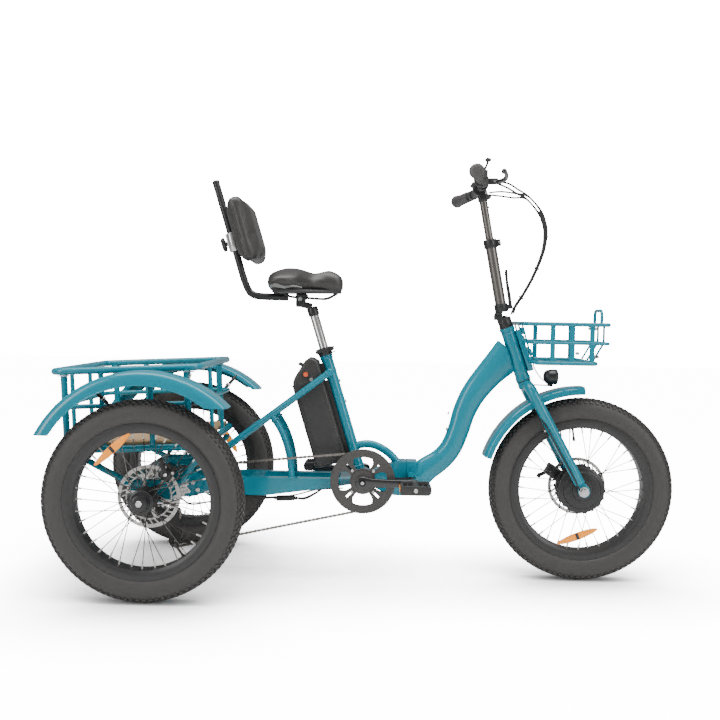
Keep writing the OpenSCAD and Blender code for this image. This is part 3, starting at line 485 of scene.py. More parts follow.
def plywood():
    """Birch plywood: long wavering grain on the faces and dark and pale plies on the edges."""
    material = surface("birch_plywood", (0.52, 0.36, 0.2), (0.4, 0.25, 0.12), (5, 0.8), (420, 0.35), (0.42, 0.55),
                       stretch=(1, 7, 7))
    tree = material.node_tree
    new, link = tree.nodes.new, tree.links.new
    place, wave, mix = new("ShaderNodeTexCoord"), new("ShaderNodeTexWave"), new("ShaderNodeMix")
    mapping = new("ShaderNodeMapping")
    mapping.inputs["Scale"].default_value = (0.35, 1, 1)
    wave.wave_type, wave.bands_direction, mix.data_type, mix.blend_type = "BANDS", "Y", "RGBA", "MULTIPLY"
    for label, value in (("Scale", 14), ("Distortion", 9), ("Detail", 3), ("Detail Scale", 0.8)):
        wave.inputs[label].default_value = value
    ramp = new("ShaderNodeValToRGB")
    ramp.color_ramp.elements[0].color = (0.62, 0.5, 0.4, 1)
    ramp.color_ramp.elements[1].color = (1, 1, 1, 1)
    ramp.color_ramp.elements[0].position, ramp.color_ramp.elements[1].position = 0.1, 0.75
    mix.inputs["Factor"].default_value = 0.75
    link(place.outputs["Object"], mapping.inputs["Vector"])
    link(mapping.outputs["Vector"], wave.inputs["Vector"])
    link(wave.outputs["Color"], ramp.inputs["Fac"])
    link(tree.nodes["grain"].outputs["Color"], mix.inputs["A"])
    link(ramp.outputs["Color"], mix.inputs["B"])
    link(mix.outputs["Result"], tree.nodes["Principled BSDF"].inputs["Base Color"])
    return material


shape = bmesh.new()
deck_x, deck_y = cargo_long / 2 - 10, cargo_half - 10
outline = [(-deck_x, -deck_y), (deck_x, -deck_y), (deck_x, deck_y), (-deck_x, deck_y)]
verts = plate(shape, outline, 6.3, 18.3, cargo_place @ at(cargo_long / 2, 0, 0), 0)
uprights = [e for v in verts for e in v.link_edges
            if abs((cargo_place.inverted() @ e.verts[0].co).z - (cargo_place.inverted() @ e.verts[1].co).z) > 5]
bmesh.ops.bevel(shape, geom=list(set(uprights)), offset=20, offset_type="OFFSET", segments=5, profile=0.5,
                affect="EDGES", clamp_overlap=True, material=-1)
rims = [e for e in shape.edges if e.calc_face_angle(0) > 1.2]
bmesh.ops.bevel(shape, geom=rims, offset=1.5, offset_type="OFFSET", segments=2, profile=0.5, affect="EDGES",
                clamp_overlap=True, material=-1)
finished("plywood_deck", shape, plywood(), "rear_frame", ["cargo_deck"])
shape = bmesh.new()
for x in (130, 282):
    for y in (-200, -70, 70, 200):
        turned(shape, [(2.2, 17.4), (2.2, 18.6), (5.5, 18.6), (5.5, 19.4), (4, 20.4), (2.6, 20.6)],
               cargo_place @ at(x, y, 0), 16)
finished("deck_screws", shape, steel, "rear_frame")


# ---- Rear fenders and their stays ----
# Pressed steel shells over each rear wheel, with a deeper skirt on the outside and a rolled lip. Short
# black stays and a silver bracket hold each one to the basket's rail.
fender_skin = [(289, 49), (303, 49), (314, 47.8), (320.5, 44.4), (324.6, 39), (326.4, 31), (327, 16), (327, 0),
               (327, -16), (326.4, -31), (324.6, -39), (320.5, -44), (315, -47), (311, -48)]
fender_inside = [(311, -45.6), (314, -45), (318.8, -42), (322.2, -37.6), (323.8, -30), (324.4, -15), (324.4, 0),
                 (324.4, 15), (323.8, 30), (322.2, 37.6), (318.8, 42.2), (313, 45.6), (303, 46.6), (289, 46.6)]


def lip(shape, r, y, start, stop, place, size=1.9):
    """The rolled rim along one edge of a fender."""
    line = [place @ Vector((r * cos(radians(a)), r * sin(radians(a)), y))
            for a in [start + (stop - start) * i / 48 for i in range(49)]]
    tube(shape, line, size, 8)


shape = bmesh.new()
for side in (-1, 1):
    place = at(0, side * 332.5, 305, rx=90)
    if side > 0:
        place = place @ Matrix.Diagonal((1, 1, -1, 1))
    turned(shape, fender_skin + fender_inside, place @ at(rz=43), 56, 114, close=True)
    lip(shape, 289.5, 47.8, 43.5, 156.5, place)
    lip(shape, 311, -46.8, 43.5, 156.5, place)
for way, height in ((1, 536), (-1, 455)):
    # both ends are sheared off level with the floor
    ahead_part = [g for g in shape.verts if g.co.x * way > 60]
    geom = ahead_part + list({e for v in ahead_part for e in v.link_edges}) + list({f for v in ahead_part for f in v.link_faces})
    cut = bmesh.ops.bisect_plane(shape, geom=geom, dist=0.001, plane_co=(0, 0, height), plane_no=(0, 0, -1), clear_outer=True)
    rims = [e for e in cut["geom_cut"] if isinstance(e, bmesh.types.BMEdge)]
    bmesh.ops.holes_fill(shape, edges=[e for e in rims if e.is_valid and e.is_boundary], sides=0)
finished("rear_fender_shells", shape, teal, "rear_frame", ["rear_fenders"], crease=40)

shape = bmesh.new()
for side in (-1, 1):
    for x, z, lean in ((118, 541, 1), (-122, 536, -1)):
        foot, head = (x, side * 262, z), (x + 34 * lean, side * 292, z + 42)
        rod(shape, foot, head, 5.4, 16, 1)
        rod(shape, (x, side * 250, z - 8), (x, side * 266, z + 3), 4, 12)
        rod(shape, Vector(head) - Vector((0, 0, 6)), Vector(head) + Vector((0, side * 24, 0)), 4, 12)
        block(shape, (22, 16, 3), at(head[0], side * 316, head[2] + 1, ry=-lean * 18), 1)
finished("fender_stay_rods", shape, satin_black, "rear_frame", ["fender_stays"])
shape = bmesh.new()
for side in (-1, 1):
    for x, z, lean in ((118, 541, 1), (-122, 536, -1)):
        place, _ = along((x + 6 * lean, side * 267, z + 8), (x + 34 * lean, side * 292, z + 42))
        turned(shape, [(0, 0), (7, 0), (7.6, 1), (7.6, 7), (7, 8), (0, 8)], place, 6)
        turned(shape, [(0, 3), (5, 3), (5.2, 1), (4, 4.4), (0, 4.6)],
               at(x + 34 * lean, side * 316, z + 44, ry=-lean * 18), 6)
finished("fender_stay_nuts", shape, steel, "rear_frame")


# ---- Wheels: knobbly tyres, rims, spokes, valves and amber reflectors ----
# Three wheels of one size on wide black alloy rims. Each tyre is a smooth carcass moulded with rows of
# rubber blocks; the spokes are laced in crossing pairs and end in bright nipples.
tyre_rubber = surface("tyre_rubber", (0.034, 0.032, 0.03), (0.052, 0.049, 0.046), (14, 0.8), (900, 0.35),
                      (0.48, 0.66))
tread_rubber = surface("tread_rubber", (0.02, 0.019, 0.018), (0.05, 0.047, 0.044), (60, 0.8), (900, 0.4),
                       (0.36, 0.6))
rim_black = surface("rim_black", (0.02, 0.02, 0.02), (0.034, 0.033, 0.032), (10, 0.5), (900, 0.1), (0.32, 0.45))
spoke_steel = surface("spoke_steel", (0.075, 0.072, 0.07), (0.05, 0.048, 0.046), (40, 0.5), (300, 0.05), (0.2, 0.35),
                      Metallic=1)
nipple_plate = surface("nipple_plate", (0.72, 0.7, 0.67), (0.56, 0.54, 0.51), (40, 0.5), (300, 0.05), (0.25, 0.4),
                       Metallic=0.3)
plastic = surface("black_plastic", (0.024, 0.024, 0.024), (0.036, 0.035, 0.035), (9, 0.5), (800, 0.35),
                  (0.36, 0.5))


def amber_lens():
    """Orange reflector plastic moulded into small prisms, with a painted glow: it gives off its own orange light though
    it is no lamp.
    """
    material = surface("amber_lens", (0.85, 0.24, 0.0), (0.95, 0.31, 0.0), (30, 0.6), (400, 0.05), (0.12, 0.2),
                       Coat_Weight=0.25, Coat_Roughness=0.08, Emission_Strength=0.6)
    tree = material.node_tree
    new, link = tree.nodes.new, tree.links.new
    place, cells, bump = new("ShaderNodeTexCoord"), new("ShaderNodeTexVoronoi"), new("ShaderNodeBump")
    cells.inputs["Scale"].default_value = 320
    cells.inputs["Randomness"].default_value = 0.15
    bump.inputs["Distance"].default_value = 0.0015
    bump.inputs["Strength"].default_value = 0.6
    link(place.outputs["Object"], cells.inputs["Vector"])
    link(cells.outputs["Distance"], bump.inputs["Height"])
    link(bump.outputs["Normal"], tree.nodes["Principled BSDF"].inputs["Normal"])
    # painted glow: the lens emits its own orange colour
    link(tree.nodes["grain"].outputs["Color"], tree.nodes["Principled BSDF"].inputs["Emission Color"])
    return material


amber = amber_lens()
tyre_r, tyre_mid = 278, 240
carcass = [(212.5, 26), (216, 31), (222, 34.6), (230, 37.2), (240, 38), (250, 36.8), (258, 33.6), (265, 28),
           (270, 20), (273, 10), (273.6, 0)]
carcass += [(r, -y) for r, y in reversed(carcass[:-1])]
carcass += [(212.5, -22), (236, -31), (255, -24), (266, -10), (266, 10), (255, 24), (236, 31), (212.5, 22)]
rim_skin = [(186, -21), (186.6, -23.4), (195, -28.2), (199, -29), (211, -29.4), (213.6, -29), (213.6, -26.6),
            (211, -26.2), (199, -25), (192, -20), (190, -12), (190, 12), (192, 20), (199, 25), (211, 26.2),
            (213.6, 26.6), (213.6, 29), (211, 29.4), (199, 29), (195, 28.2), (186.6, 23.4), (186, 21)]
knob_rows = [(0.2, 0, 11, 10, 4.6), (0.7, 11.5, 10, 9, 4.4), (0.7, -11.5, 10, 9, 4.4), (0.2, 21.5, 9, 11, 5.2),
             (0.2, -21.5, 9, 11, 5.2), (0.7, 29.6, 7, 11, 5.6), (0.7, -29.6, 7, 11, 5.6)]
knob_count = 96


def tread_radius(y):
    """Radius of the bare carcass beside its middle."""
    for (r0, y0), (r1, y1) in zip(carcass[4:10], carcass[5:11]):
        if y1 <= abs(y) <= y0:
            return r1 + (r0 - r1) * (abs(y) - y1) / (y0 - y1)
    return 273.6


def knobs(shape, place):
    for phase, y, wide, deep, high in knob_rows:
        known = set(shape.verts)
        lean = 55 * (y / 33) ** 2 * (1 if y > 0 else -1)
        stand = at(tread_radius(y) + high / 2 - 1.3, 0, y, ry=90 - lean)
        bmesh.ops.create_cube(shape, size=1, matrix=stand @ Matrix.Diagonal((wide, deep, high, 1)))
        made = [v for v in shape.verts if v not in known]
        top = [v for v in made if (stand.inverted() @ v.co).z > 0]
        bmesh.ops.scale(shape, vec=(0.8, 0.82, 1), verts=top, space=stand.inverted())
        step = 2 * pi / knob_count
        bmesh.ops.rotate(shape, verts=made, matrix=Matrix.Rotation(phase * step, 3, "Z"))
        geom = made + list({e for v in made for e in v.link_edges}) + list({f for v in made for f in v.link_faces})
        bmesh.ops.spin(shape, geom=geom, cent=(0, 0, 0), axis=(0, 0, 1), angle=step * (knob_count - 1),
                       steps=knob_count - 1, use_merge=False, use_normal_flip=False, use_duplicate=True)
        bmesh.ops.transform(shape, matrix=place, verts=[v for v in shape.verts if v not in known])


def around(r, a, y):
    return Vector((r * cos(radians(a)), y, r * sin(radians(a))))


# each wheel: name, body, middle, radius and half width of its spoke flanges, lead angle, valve angle,
# and its reflectors as (x, z, slant, y)
wheels = [
    ("right", "right_wheel", (0, -332.5, 278), 31, 30, 32, -53.5, [(-80, 141, 43, -22)]),
    ("left", "left_wheel", (0, 332.5, 278), 31, 30, 32, 148, [(118, 96, -57, -20)]),
    ("front", "front_wheel", (1248, 0, 278), 67, 28, 16, 98, [(-7, -143, 21.8, -20)]),
]
for name, body, middle, hub_r, flange, lead, valve_at, reflectors in wheels:
    place = Matrix.Translation(middle) @ at(rx=90)
    shape = bmesh.new()
    turned(shape, carcass, place, 144, close=True)
    finished("tyre_carcass_" + name, shape, tyre_rubber, body, ["tyre_" + name])
    shape = bmesh.new()
    knobs(shape, place)
    finished("tyre_tread_" + name, shape, tread_rubber, body, merge=0.001)
    shape = bmesh.new()
    turned(shape, rim_skin, place, 144, close=True)
    finished("rim_hoop_" + name, shape, rim_black, body, ["rim_" + name])

    shape, ends = bmesh.new(), bmesh.new()
    for i in range(36):
        side, turn, a = 1 - 2 * (i % 2), 1 - 2 * (i // 2 % 2), 10 * i
        p = Vector(middle) + around(hub_r, a - turn * lead, side * (flange + turn * 1.4))
        q = Vector(middle) + around(187, a, side * 6)
        rod(shape, p, q, 1.25, 8)
        rod(ends, q + (p - q).normalized() * 17, q, 2.5, 8, 0.4)
    finished("spokes_laced_" + name, shape, spoke_steel, body, ["spokes_" + name])
    finished("nipples_" + name, ends, nipple_plate, body)

    shape = bmesh.new()
    way = around(1, valve_at, 0)
    foot = Vector(middle) + way * 188
    turned(shape, [(0, 0), (5, 0), (4.6, 5), (3.4, 8), (3.2, 30), (4.4, 31), (4.4, 41), (3, 43), (0, 43)],
           along(foot, foot - way)[0], 16)
    finished("valve_" + name, shape, plastic, body)
    shape, clips = bmesh.new(), bmesh.new()
    for x, z, slant, y in reflectors:
        lens = at(middle[0] + x, middle[1] + y, middle[2] + z, ry=-slant) @ at(rx=90)
        outline = [(65 * cos(radians(a)), 11 * sin(radians(a)) * (1 - 0.2 * abs(cos(radians(a))) ** 3))
                   for a in range(0, 360, 12)]
        plate(shape, outline, -4, 4, lens, 1.6, 2)
        block(clips, (9, 20, 11), lens, 1.5)
    finished("reflectors_" + name, shape, amber, body)
    finished("reflector_clips_" + name, clips, plastic, body)


# ---- Hubs, axle and brake discs ----
# Black turned alloy hubs, the right one keyed to the through axle, and a larger shell that holds the
# front motor. Each carries a ground steel disc: a slotted ring on swept arms.
def brake_rotor(shape, place):
    for inner, outer in ((61, 65), (78, 88)):
        turned(shape, [(inner, -1), (outer, -1), (outer, 1), (inner, 1)], place, 108, close=True)
    turned(shape, [(19, -1), (26, -1), (26, 1), (19, 1)], place, 48, close=True)
    for a in range(0, 360, 12):
        block(shape, (20, 3.6, 1.9), place @ at(rz=a) @ at(71.5, 0, 0, rz=28), 0)
        block(shape, (5, 2.4, 2.3), place @ at(rz=a + 6) @ at(83, 0, 0, rz=-20), 0)
    arm = [(22, -7), (40, -15), (64, -17), (63, -9), (44, -6), (24, 7)]
    for a in range(0, 360, 60):
        plate(shape, arm, -0.9, 0.9, place @ at(rz=a), 0)
        turned(shape, [(0, 1), (3.4, 1), (3.4, 2.6), (0, 2.6)], place @ at(rz=a) @ at(25, 0, 0), 12)


rotor_steel = surface("rotor_steel", (0.5, 0.49, 0.47), (0.34, 0.33, 0.31), (60, 0.5), (500, 0.08), (0.2, 0.34),
                      Metallic=1)
hub_shell = [(10.5, -65), (23, -65), (24, -64), (24, -33), (33.4, -32.6), (34, -32), (34, -28), (33.4, -27.4),
             (21, -26), (19, -22), (19, 22), (21, 26), (33.4, 27.4), (34, 28), (34, 32), (33.4, 32.6), (27, 34),
             (25.6, 42), (23, 46), (10.5, 46)]
for side, which in ((-1, "right"), (1, "left")):
    place = at(0, side * 332.5, 278, rx=90)
    if side > 0:
        place = place @ Matrix.Diagonal((1, 1, -1, 1))
    shape = bmesh.new()
    turned(shape, hub_shell, place, 64, close=True)
    for a in range(0, 360, 40):
        block(shape, (9, 4, 22), place @ at(rz=a) @ at(23, 0, -48), 1)
    finished("hub_shell_" + which, shape, satin_black, which + "_wheel", ["hub_" + which])
    shape = bmesh.new()
    brake_rotor(shape, place @ at(0, 0, -60.5))
    finished("brake_rotor_" + which, shape, rotor_steel, which + "_wheel")
shape, nuts = bmesh.new(), bmesh.new()
rod(shape, (0, -381, 278), (0, 381, 278), 10, 32, 1)
for side in (-1, 1):
    end = at(0, side * 332.5, 278, rx=-90 * side)
    turned(shape, [(10, 46.4), (21, 46.4), (22, 47.4), (22, 49), (20, 50.4), (10, 50.6)], end, 40, close=True)
    turned(nuts, [(0, 47), (9, 47), (9.4, 48), (9.4, 51.6), (8.4, 52.4), (0, 52.5)], end, 6)
finished("rear_axle_shaft", shape, satin_black, "right_wheel")
finished("rear_axle_nuts", nuts, steel, "right_wheel")
motor_place = at(1248, 0, 278, rx=90)
shape = bmesh.new()
turned(shape, [(6.4, -45), (21.4, -45), (22, -44.4), (22, -40), (53, -39), (54.6, -38), (58, -33.6), (62, -32),
               (69, -30.6), (69.6, -30), (69.6, -26), (69, -25.4), (62.6, -24), (62, -22), (62, 22), (62.6, 24),
               (69, 25.4), (69.6, 26), (69.6, 30), (69, 30.6), (62, 32), (59, 32.6), (56.6, 34), (56, 36.4),
               (54.6, 38.2), (53, 38.9), (31, 39.6), (30, 40.6), (29.4, 43.6), (28.6, 44), (6.4, 44)], motor_place,
       96, close=True)
for a in range(0, 360, 20):
    for z in (-30.4, 25.6):
        turned(shape, [(0, 0), (5.2, 0), (5.2, 4.8), (0, 4.8)], motor_place @ at(rz=a) @ at(67.5, 0, z), 14)
finished("motor_shell", shape, satin_black, "front_wheel", ["hub_motor"])
shape = bmesh.new()
brake_rotor(shape, motor_place @ at(0, 0, -46.2))
finished("brake_rotor_front", shape, rotor_steel, "front_wheel")


# ---- Chain, chainring, cassette and derailleur ----
# A plate chain on a 42-tooth ring behind a dark guard, a stack of steel cogs, and a black derailleur
# with two toothed jockey wheels.
pitch, chain_y = 12.7, -92
ring_at, cog_at, guide_at, idler_at = (590, 302), (0, 278), (30, 192), (38, 114)
ring_pr, cog_pr, pulley_pr = 42 * pitch / (2 * pi), 24 * pitch / (2 * pi), 21


def leaving(c, r, e, s):
    """Angle at which a line tangent to two circles leaves the first; left turns have positive radii."""
    gap = Vector((e[0] - c[0], e[1] - c[1]))
    return atan2(gap.y, gap.x) - acos((r - s) / gap.length)


def chain_route():
    """Points along the chain in its own plane, close together."""
    stops = [(ring_at, ring_pr), (cog_at, cog_pr), (guide_at, -pulley_pr), (idler_at, pulley_pr)]
    line = []
    for i, (c, r) in enumerate(stops):
        before, after = stops[i - 1], stops[(i + 1) % 4]
        start, stop = leaving(*before, c, r), leaving(c, r, *after)
        if r > 0:
            stop += 2 * pi * (stop < start)
        else:
            start, stop = start, stop
            stop -= 2 * pi * (stop > start)
        for k in range(41):
            a = start + (stop - start) * k / 40
            line.append(Vector((c[0] + r * cos(a), chain_y, c[1] + r * sin(a))))
    return line + [line[0]]


def evenly(line, step):
    """Points a fixed step apart along a line, as (point, direction)."""
    spots, left = [], 0.0
    for a, b in zip(line, line[1:]):
        length = (b - a).length
        while left < length:
            spots.append((a.lerp(b, left / length), (b - a).normalized()))
            left += step
        left -= length
    return spots


chain_steel = surface("chain_steel", (0.3, 0.28, 0.26), (0.14, 0.13, 0.12), (120, 0.8), (500, 0.1), (0.25, 0.45),
                      Metallic=1)
route = chain_route()
total = sum((b - a).length for a, b in zip(route, route[1:]))
links = 2 * round(total / pitch / 2)
spots = evenly(route, total / links)[:links]
shape = bmesh.new()
waist = [(-9.6, 0), (-8.6, 2.9), (-6.3, 4.1), (0, 2.6), (6.3, 4.1), (8.6, 2.9), (9.6, 0), (8.6, -2.9), (6.3, -4.1),
         (0, -2.6), (-6.3, -4.1), (-8.6, -2.9)]
for i in range(links):
    p, q = spots[i][0], spots[(i + 1) % links][0]
    slope = atan2((q - p).z, (q - p).x)
    mid = Matrix.Translation((p + q) / 2) @ Matrix.Rotation(-slope, 4, "Y") @ at(rx=90)
    gap = 2.6 if i % 2 else 1.6
    for side in (-1, 1):
        plate(shape, waist, gap * side - 0.45, gap * side + 0.45, mid, 0)
    rod(shape, p + Vector((0, -3.2, 0)), p + Vector((0, 3.2, 0)), 3.2 if i % 2 else 2, 8)
finished("chain_links", shape, chain_steel, "rear_frame", ["chain"], merge=0.0005)


def toothed(teeth, pr, low=3.4, high=3.0):
    """The outline of a sprocket."""
    rim = []
    for i in range(teeth):
        for share, r in ((-0.34, pr - low), (-0.13, pr + high), (0.13, pr + high), (0.34, pr - low)):
            a = 2 * pi * (i + share) / teeth
            rim.append((r * cos(a), r * sin(a)))
    return rim


shape = bmesh.new()
cog_line = at(0, chain_y, 278, rx=90)
for i, teeth in ((-3, 34), (-2, 30), (-1, 27), (0, 24), (1, 21), (2, 18), (3, 15)):
    plate(shape, toothed(teeth, teeth * pitch / (2 * pi), 3.4, 2), i * 4.4 - 1, i * 4.4 + 1, cog_line, 0.3)
turned(shape, [(10.2, -16), (20, -16), (20, 16), (17, 18), (10.2, 18)], cog_line, 32, close=True)
finished("cassette_cogs", shape, steel, "cogs", ["cassette"])

guard_grey = surface("guard_grey", (0.05, 0.048, 0.045), (0.068, 0.065, 0.06), (12, 0.5), (800, 0.2), (0.3, 0.42))
coat_node(["chainring"], guard_grey)
shape = bmesh.new()
ring_line = at(590, chain_y, 302, rx=90)
known = set(shape.verts)
verts = plate(shape, [(78, -4.1), (82.4, -3.4), (88.2, -1.2), (88.2, 1.2), (82.4, 3.4), (78, 4.1)], -1.4, 1.4,
              bevel=0.3)
for i in range(1, 42):
    copies(shape, verts, [Matrix.Rotation(2 * pi * i / 42, 4, "Z")])
bmesh.ops.transform(shape, matrix=ring_line, verts=shape.verts)
finished("chainring_teeth", shape, steel, "crank")
shape = bmesh.new()
turned(shape, [(89, 4.4), (93.6, 4.6), (95.6, 6), (96, 7.5), (95.6, 9), (93.6, 10.6), (90, 11.2), (88, 10.6)],
       ring_line, 96, close=True)
turned(shape, [(18, 12), (30, 14), (33, 16.5), (33, 17.5), (30, 18.6), (18, 20)], ring_line, 48, close=True)
finished("chain_guard_rim", shape, guard_grey, "crank")
shape = bmesh.new()
for a in range(0, 360, 90):
    spot = ring_line @ at(rz=a + 45) @ at(44, 0, 9.6)
    turned(shape, [(0, 0), (4.6, 0), (4.6, 1.6), (3.8, 2.6), (1.8, 2.6), (1.8, 1.4), (0, 1.4)], spot, 12)
finished("chainring_bolts", shape, steel, "crank")

shape, bolts = bmesh.new(), bmesh.new()
for centre in (guide_at, idler_at):
    wheel = at(centre[0], chain_y, centre[1], rx=90)
    plate(shape, toothed(11, pulley_pr - 3, 2.6, 2.4), -2.4, 2.4, wheel, 0.3)
    rod(bolts, wheel @ Vector((0, 0, -12)), wheel @ Vector((0, 0, 13)), 3.4, 12, 0.6)
cage = [(18, 200), (26, 208), (38, 206), (45, 198), (46, 180), (52, 160), (55, 124), (52, 104), (42, 95), (30, 99),
        (25, 110), (24, 140), (17, 165), (14, 186)]
for y in (chain_y - 8, chain_y + 5):
    plate(shape, cage, y - 1.2, y + 1.2, at() @ Matrix(((1, 0, 0, 0), (0, 0, 1, 0), (0, 1, 0, 0), (0, 0, 0, 1))), 0.6)
block(shape, (30, 22, 24), at(28, chain_y + 19, 196, ry=12), 5, 3)
block(shape, (18, 16, 52), at(22, -76, 222, ry=-14), 4, 3)
rod(shape, (30, -100, 196), (30, -70, 196), 11, 24, 2)
rod(shape, (16, -88, 246), (16, -64, 246), 8, 20, 1.5)
tube(shape, smooth_route([(66, -62, 216), (56, -66, 226), (44, -72, 232), (34, -78, 228)]), 2.5, 10)
finished("derailleur_cage", shape, plastic, "rear_frame", ["derailleur"])
finished("derailleur_bolts", bolts, steel, "rear_frame")


# ---- Crank arms and pedals ----
# Forged black arms with a tapering waist on a square axle, held by bright bolts. Wide plastic platform
# pedals turn on them.
gloss_black = surface("gloss_black", (0.01, 0.01, 0.011), (0.018, 0.018, 0.018), (6, 0.5), (400, 0.03),
                      (0.12, 0.2), Coat_Weight=0.5, Coat_Roughness=0.05)
arm_outline = [(-20, 0), (-18.5, 9), (-13, 15.5), (-4, 19), (8, 17.5), (26, 13.5), (80, 11), (130, 11.5), (146, 13.5),
               (158, 12), (165, 6.5), (167, 0)]
arm_outline += [(x, -y) for x, y in reversed(arm_outline[1:-1])]
shape, bolts = bmesh.new(), bmesh.new()
rod(shape, (590, -120, 302), (590, 118, 302), 12.8, 24)
for side, reach in ((-1, 0), (1, 180)):
    arm = at(590, side * 125, 302, rx=90) @ at(rz=reach)
    plate(shape, arm_outline, -7, 7, arm, 3, 3)
    rod(shape, (590, side * 114, 302), (590, side * 129, 302), 19, 32, 2)
    end = 590 - side * 152
    rod(shape, (end, side * 128, 302), (end, side * 141, 302), 12, 24, 2)
    rod(bolts, (end, side * 138, 302), (end, side * 239, 302), 5.9, 16, 0.6)
    turned(bolts, [(0, 0), (5, 0), (6, 2), (9, 2), (9.8, 3.4), (9.8, 5), (8, 6), (0, 6)],
           along((590, side * 134, 302), (590, side * 126, 302))[0], 24)
finished("crank_arms_forged", shape, gloss_black, "crank", ["crank_arms"])
finished("crank_axle_bolts", bolts, steel, "crank")

for name, x, y in (("right", 742, -192), ("left", 438, 192)):
    shape = bmesh.new()
    middle = at(x, y, 302)
    for sy in (-1, 1):
        rail = [(-44, -4), (-40, -11), (-30, -13), (30, -13), (40, -11), (44, -4), (44, 4), (40, 11), (30, 13),
                (-30, 13), (-40, 11), (-44, 4)]
        plate(shape, rail, sy * 39 - 6, sy * 39 + 6, middle @ at(rx=90), 1.5, 2)
        for tooth in range(-36, 37, 9):
            for sz in (-1, 1):
                block(shape, (4, 9, 3), middle @ at(tooth, sy * 39, sz * 12), 0.8, 1)
    for sx in (-1, 1):
        block(shape, (9, 80, 20), middle @ at(sx * 39, 0, 0), 2.4, 2)
        block(shape, (5, 80, 14), middle @ at(sx * 22, 0, 0), 1.6, 2)
    turned(shape, [(6.2, -46), (11, -46), (12.5, -40), (12.5, -20), (10, -14), (10, 14), (12.5, 20), (12.5, 40),
                   (11, 46), (6.2, 46)], middle @ at(rx=90), 28, close=True)
    finished("pedal_cage_" + name, shape, plastic, name + "_pedal", ["pedal_" + name])
    shape = bmesh.new()
    for sx in (-1, 1):
        block(shape, (2.4, 56, 12), middle @ at(sx * 44, 0, 0), 0.8, 1)
    finished("pedal_reflectors_" + name, shape, amber, name + "_pedal")


# ---- Disc brakes ----
# Black cable-pulled calipers over the edge of each disc, with a round pad adjuster, a pull arm with its
# return spring, and two bright bolts.
def caliper(shape, bolts, place):
    """A caliper about the middle of its disc; local X runs out to it and local Y is the axle."""
    for face, thick in ((-14, 20), (13, 18)):
        block(shape, (40, thick, 36), place @ at(86, face, 0), 6, 3)
    block(shape, (12, 44, 34), place @ at(101, 0, 0), 4, 3)
    turned(shape, [(0, 0), (15, 0), (16, 1.5), (16, 7), (13, 9), (0, 9)], place @ at(84, -23, 0, rx=90), 28)
    block(shape, (44, 5, 12), place @ at(96, -32, 16, ry=-58), 2, 2)
    block(shape, (12, 10, 14), place @ at(108, -30, 34), 2.5, 2)
    for z in (-13, 13):
        turned(bolts, [(0, 0), (4.6, 0), (5, 1), (5, 5), (4, 6), (2.4, 6), (2.4, 3), (0, 3)],
               place @ at(100, -24, z, rx=90), 14)
    turned(bolts, [(0, 0), (5.5, 0), (5.5, 3), (4, 4), (0, 4)], place @ at(84, -32, 0, rx=90), 6)


shape, bolts = bmesh.new(), bmesh.new()
for side in (-1, 1):
    caliper(shape, bolts, at(0, side * 272, 278, ry=-52) @ at(rz=0 if side < 0 else 0)
            @ Matrix.Diagonal((1, -side, 1, 1)))
finished("rear_brake_calipers", shape, satin_black, "rear_frame", ["rear_calipers"])
finished("rear_caliper_bolts", bolts, steel, "rear_frame")
shape, bolts = bmesh.new(), bmesh.new()
caliper(shape, bolts, at(1248, 46.2, 278, ry=-150) @ Matrix.Diagonal((1, -1, 1, 1)))
finished("front_brake_caliper", shape, satin_black, "steerer", ["front_caliper"])
finished("front_caliper_bolts", bolts, steel, "steerer")


# ---- Battery, its rail and the cables under the beam ----
# A dark grey moulded case on an aluminium rail behind the seat tube, with black edge trims, a handle
# slot, an orange switch and a round key lock. Cables run under the beam to a moulded connector.
case_grey = surface("case_grey", (0.026, 0.025, 0.024), (0.04, 0.038, 0.036), (7, 0.5), (900, 0.4), (0.34, 0.46))
case_side = [(-25.4, -22), (-25.4, 290), (-36, 302), (-48, 308), (-62, 303), (-108, 262), (-116, 250), (-121.5, 232),
             (-121.5, -10), (-118, -18), (-110, -22)]
battery_line = seat_line @ at(rx=90)
shape = bmesh.new()
plate(shape, [(x, z) for x, z in case_side], -41, 41, battery_line, 9, 4)
finished("battery_shell", shape, case_grey, "battery", ["battery_case"])
shape = bmesh.new()
for side in (-1, 1):
    band = [Vector((x + 3.5 * (1 if x > -60 else -0.2), z, side * 33)) for x, z in case_side]
    panel = [(-38, -4), (-38, 226), (-48, 240), (-98, 240), (-109, 226), (-109, -4), (-102, -10), (-46, -10)]
    plate(shape, panel, side * 41.2 - 0.9, side * 41.2 + 0.9, battery_line, 0.8, 1)
for z in (-17, 238):
    tube(shape, rounded([(-30, z, -41.4), (-30, z, 41.4)], 1)[:1] + rounded(
        [(-26, z, 41.6), (-122, z, 41.6), (-122, z, -41.6), (-26, z, -41.6)], 9)[1:-1], 1.5, 8, battery_line)
block(shape, (26, 22, 50), battery_line @ at(-76, 291, 0, rz=-42) @ at(rx=0) @ Matrix.Diagonal((1, 0.35, 1, 1)), 3, 2)
turned(shape, [(8.2, 0), (11, 0), (11.5, 1.2), (10.6, 2.4), (8.4, 2.6)], battery_line @ at(-72, 262, 40.4), 32,
       close=True)
turned(shape, [(6.2, 0), (9.4, 0), (9.8, 1.2), (9, 2.4), (6.4, 2.6)], battery_line @ at(-60, 243, 40.4), 32,
       close=True)
finished("battery_trim", shape, plastic, "battery")
shape = bmesh.new()
turned(shape, [(0, 38), (6.2, 38), (6.2, 41.6), (5.4, 42.4), (0, 42.4)], battery_line @ at(-60, 243, 0), 24)
block(shape, (1.6, 7, 1.2), battery_line @ at(-60, 243, 42.6), 0.3, 1)
finished("battery_lock", shape, steel, "battery")
orange = surface("switch_orange", (0.85, 0.11, 0.02), (0.7, 0.08, 0.015), (60, 0.5), (300, 0.05), (0.25, 0.35),
                 Coat_Weight=0.4, Coat_Roughness=0.1)
shape = bmesh.new()
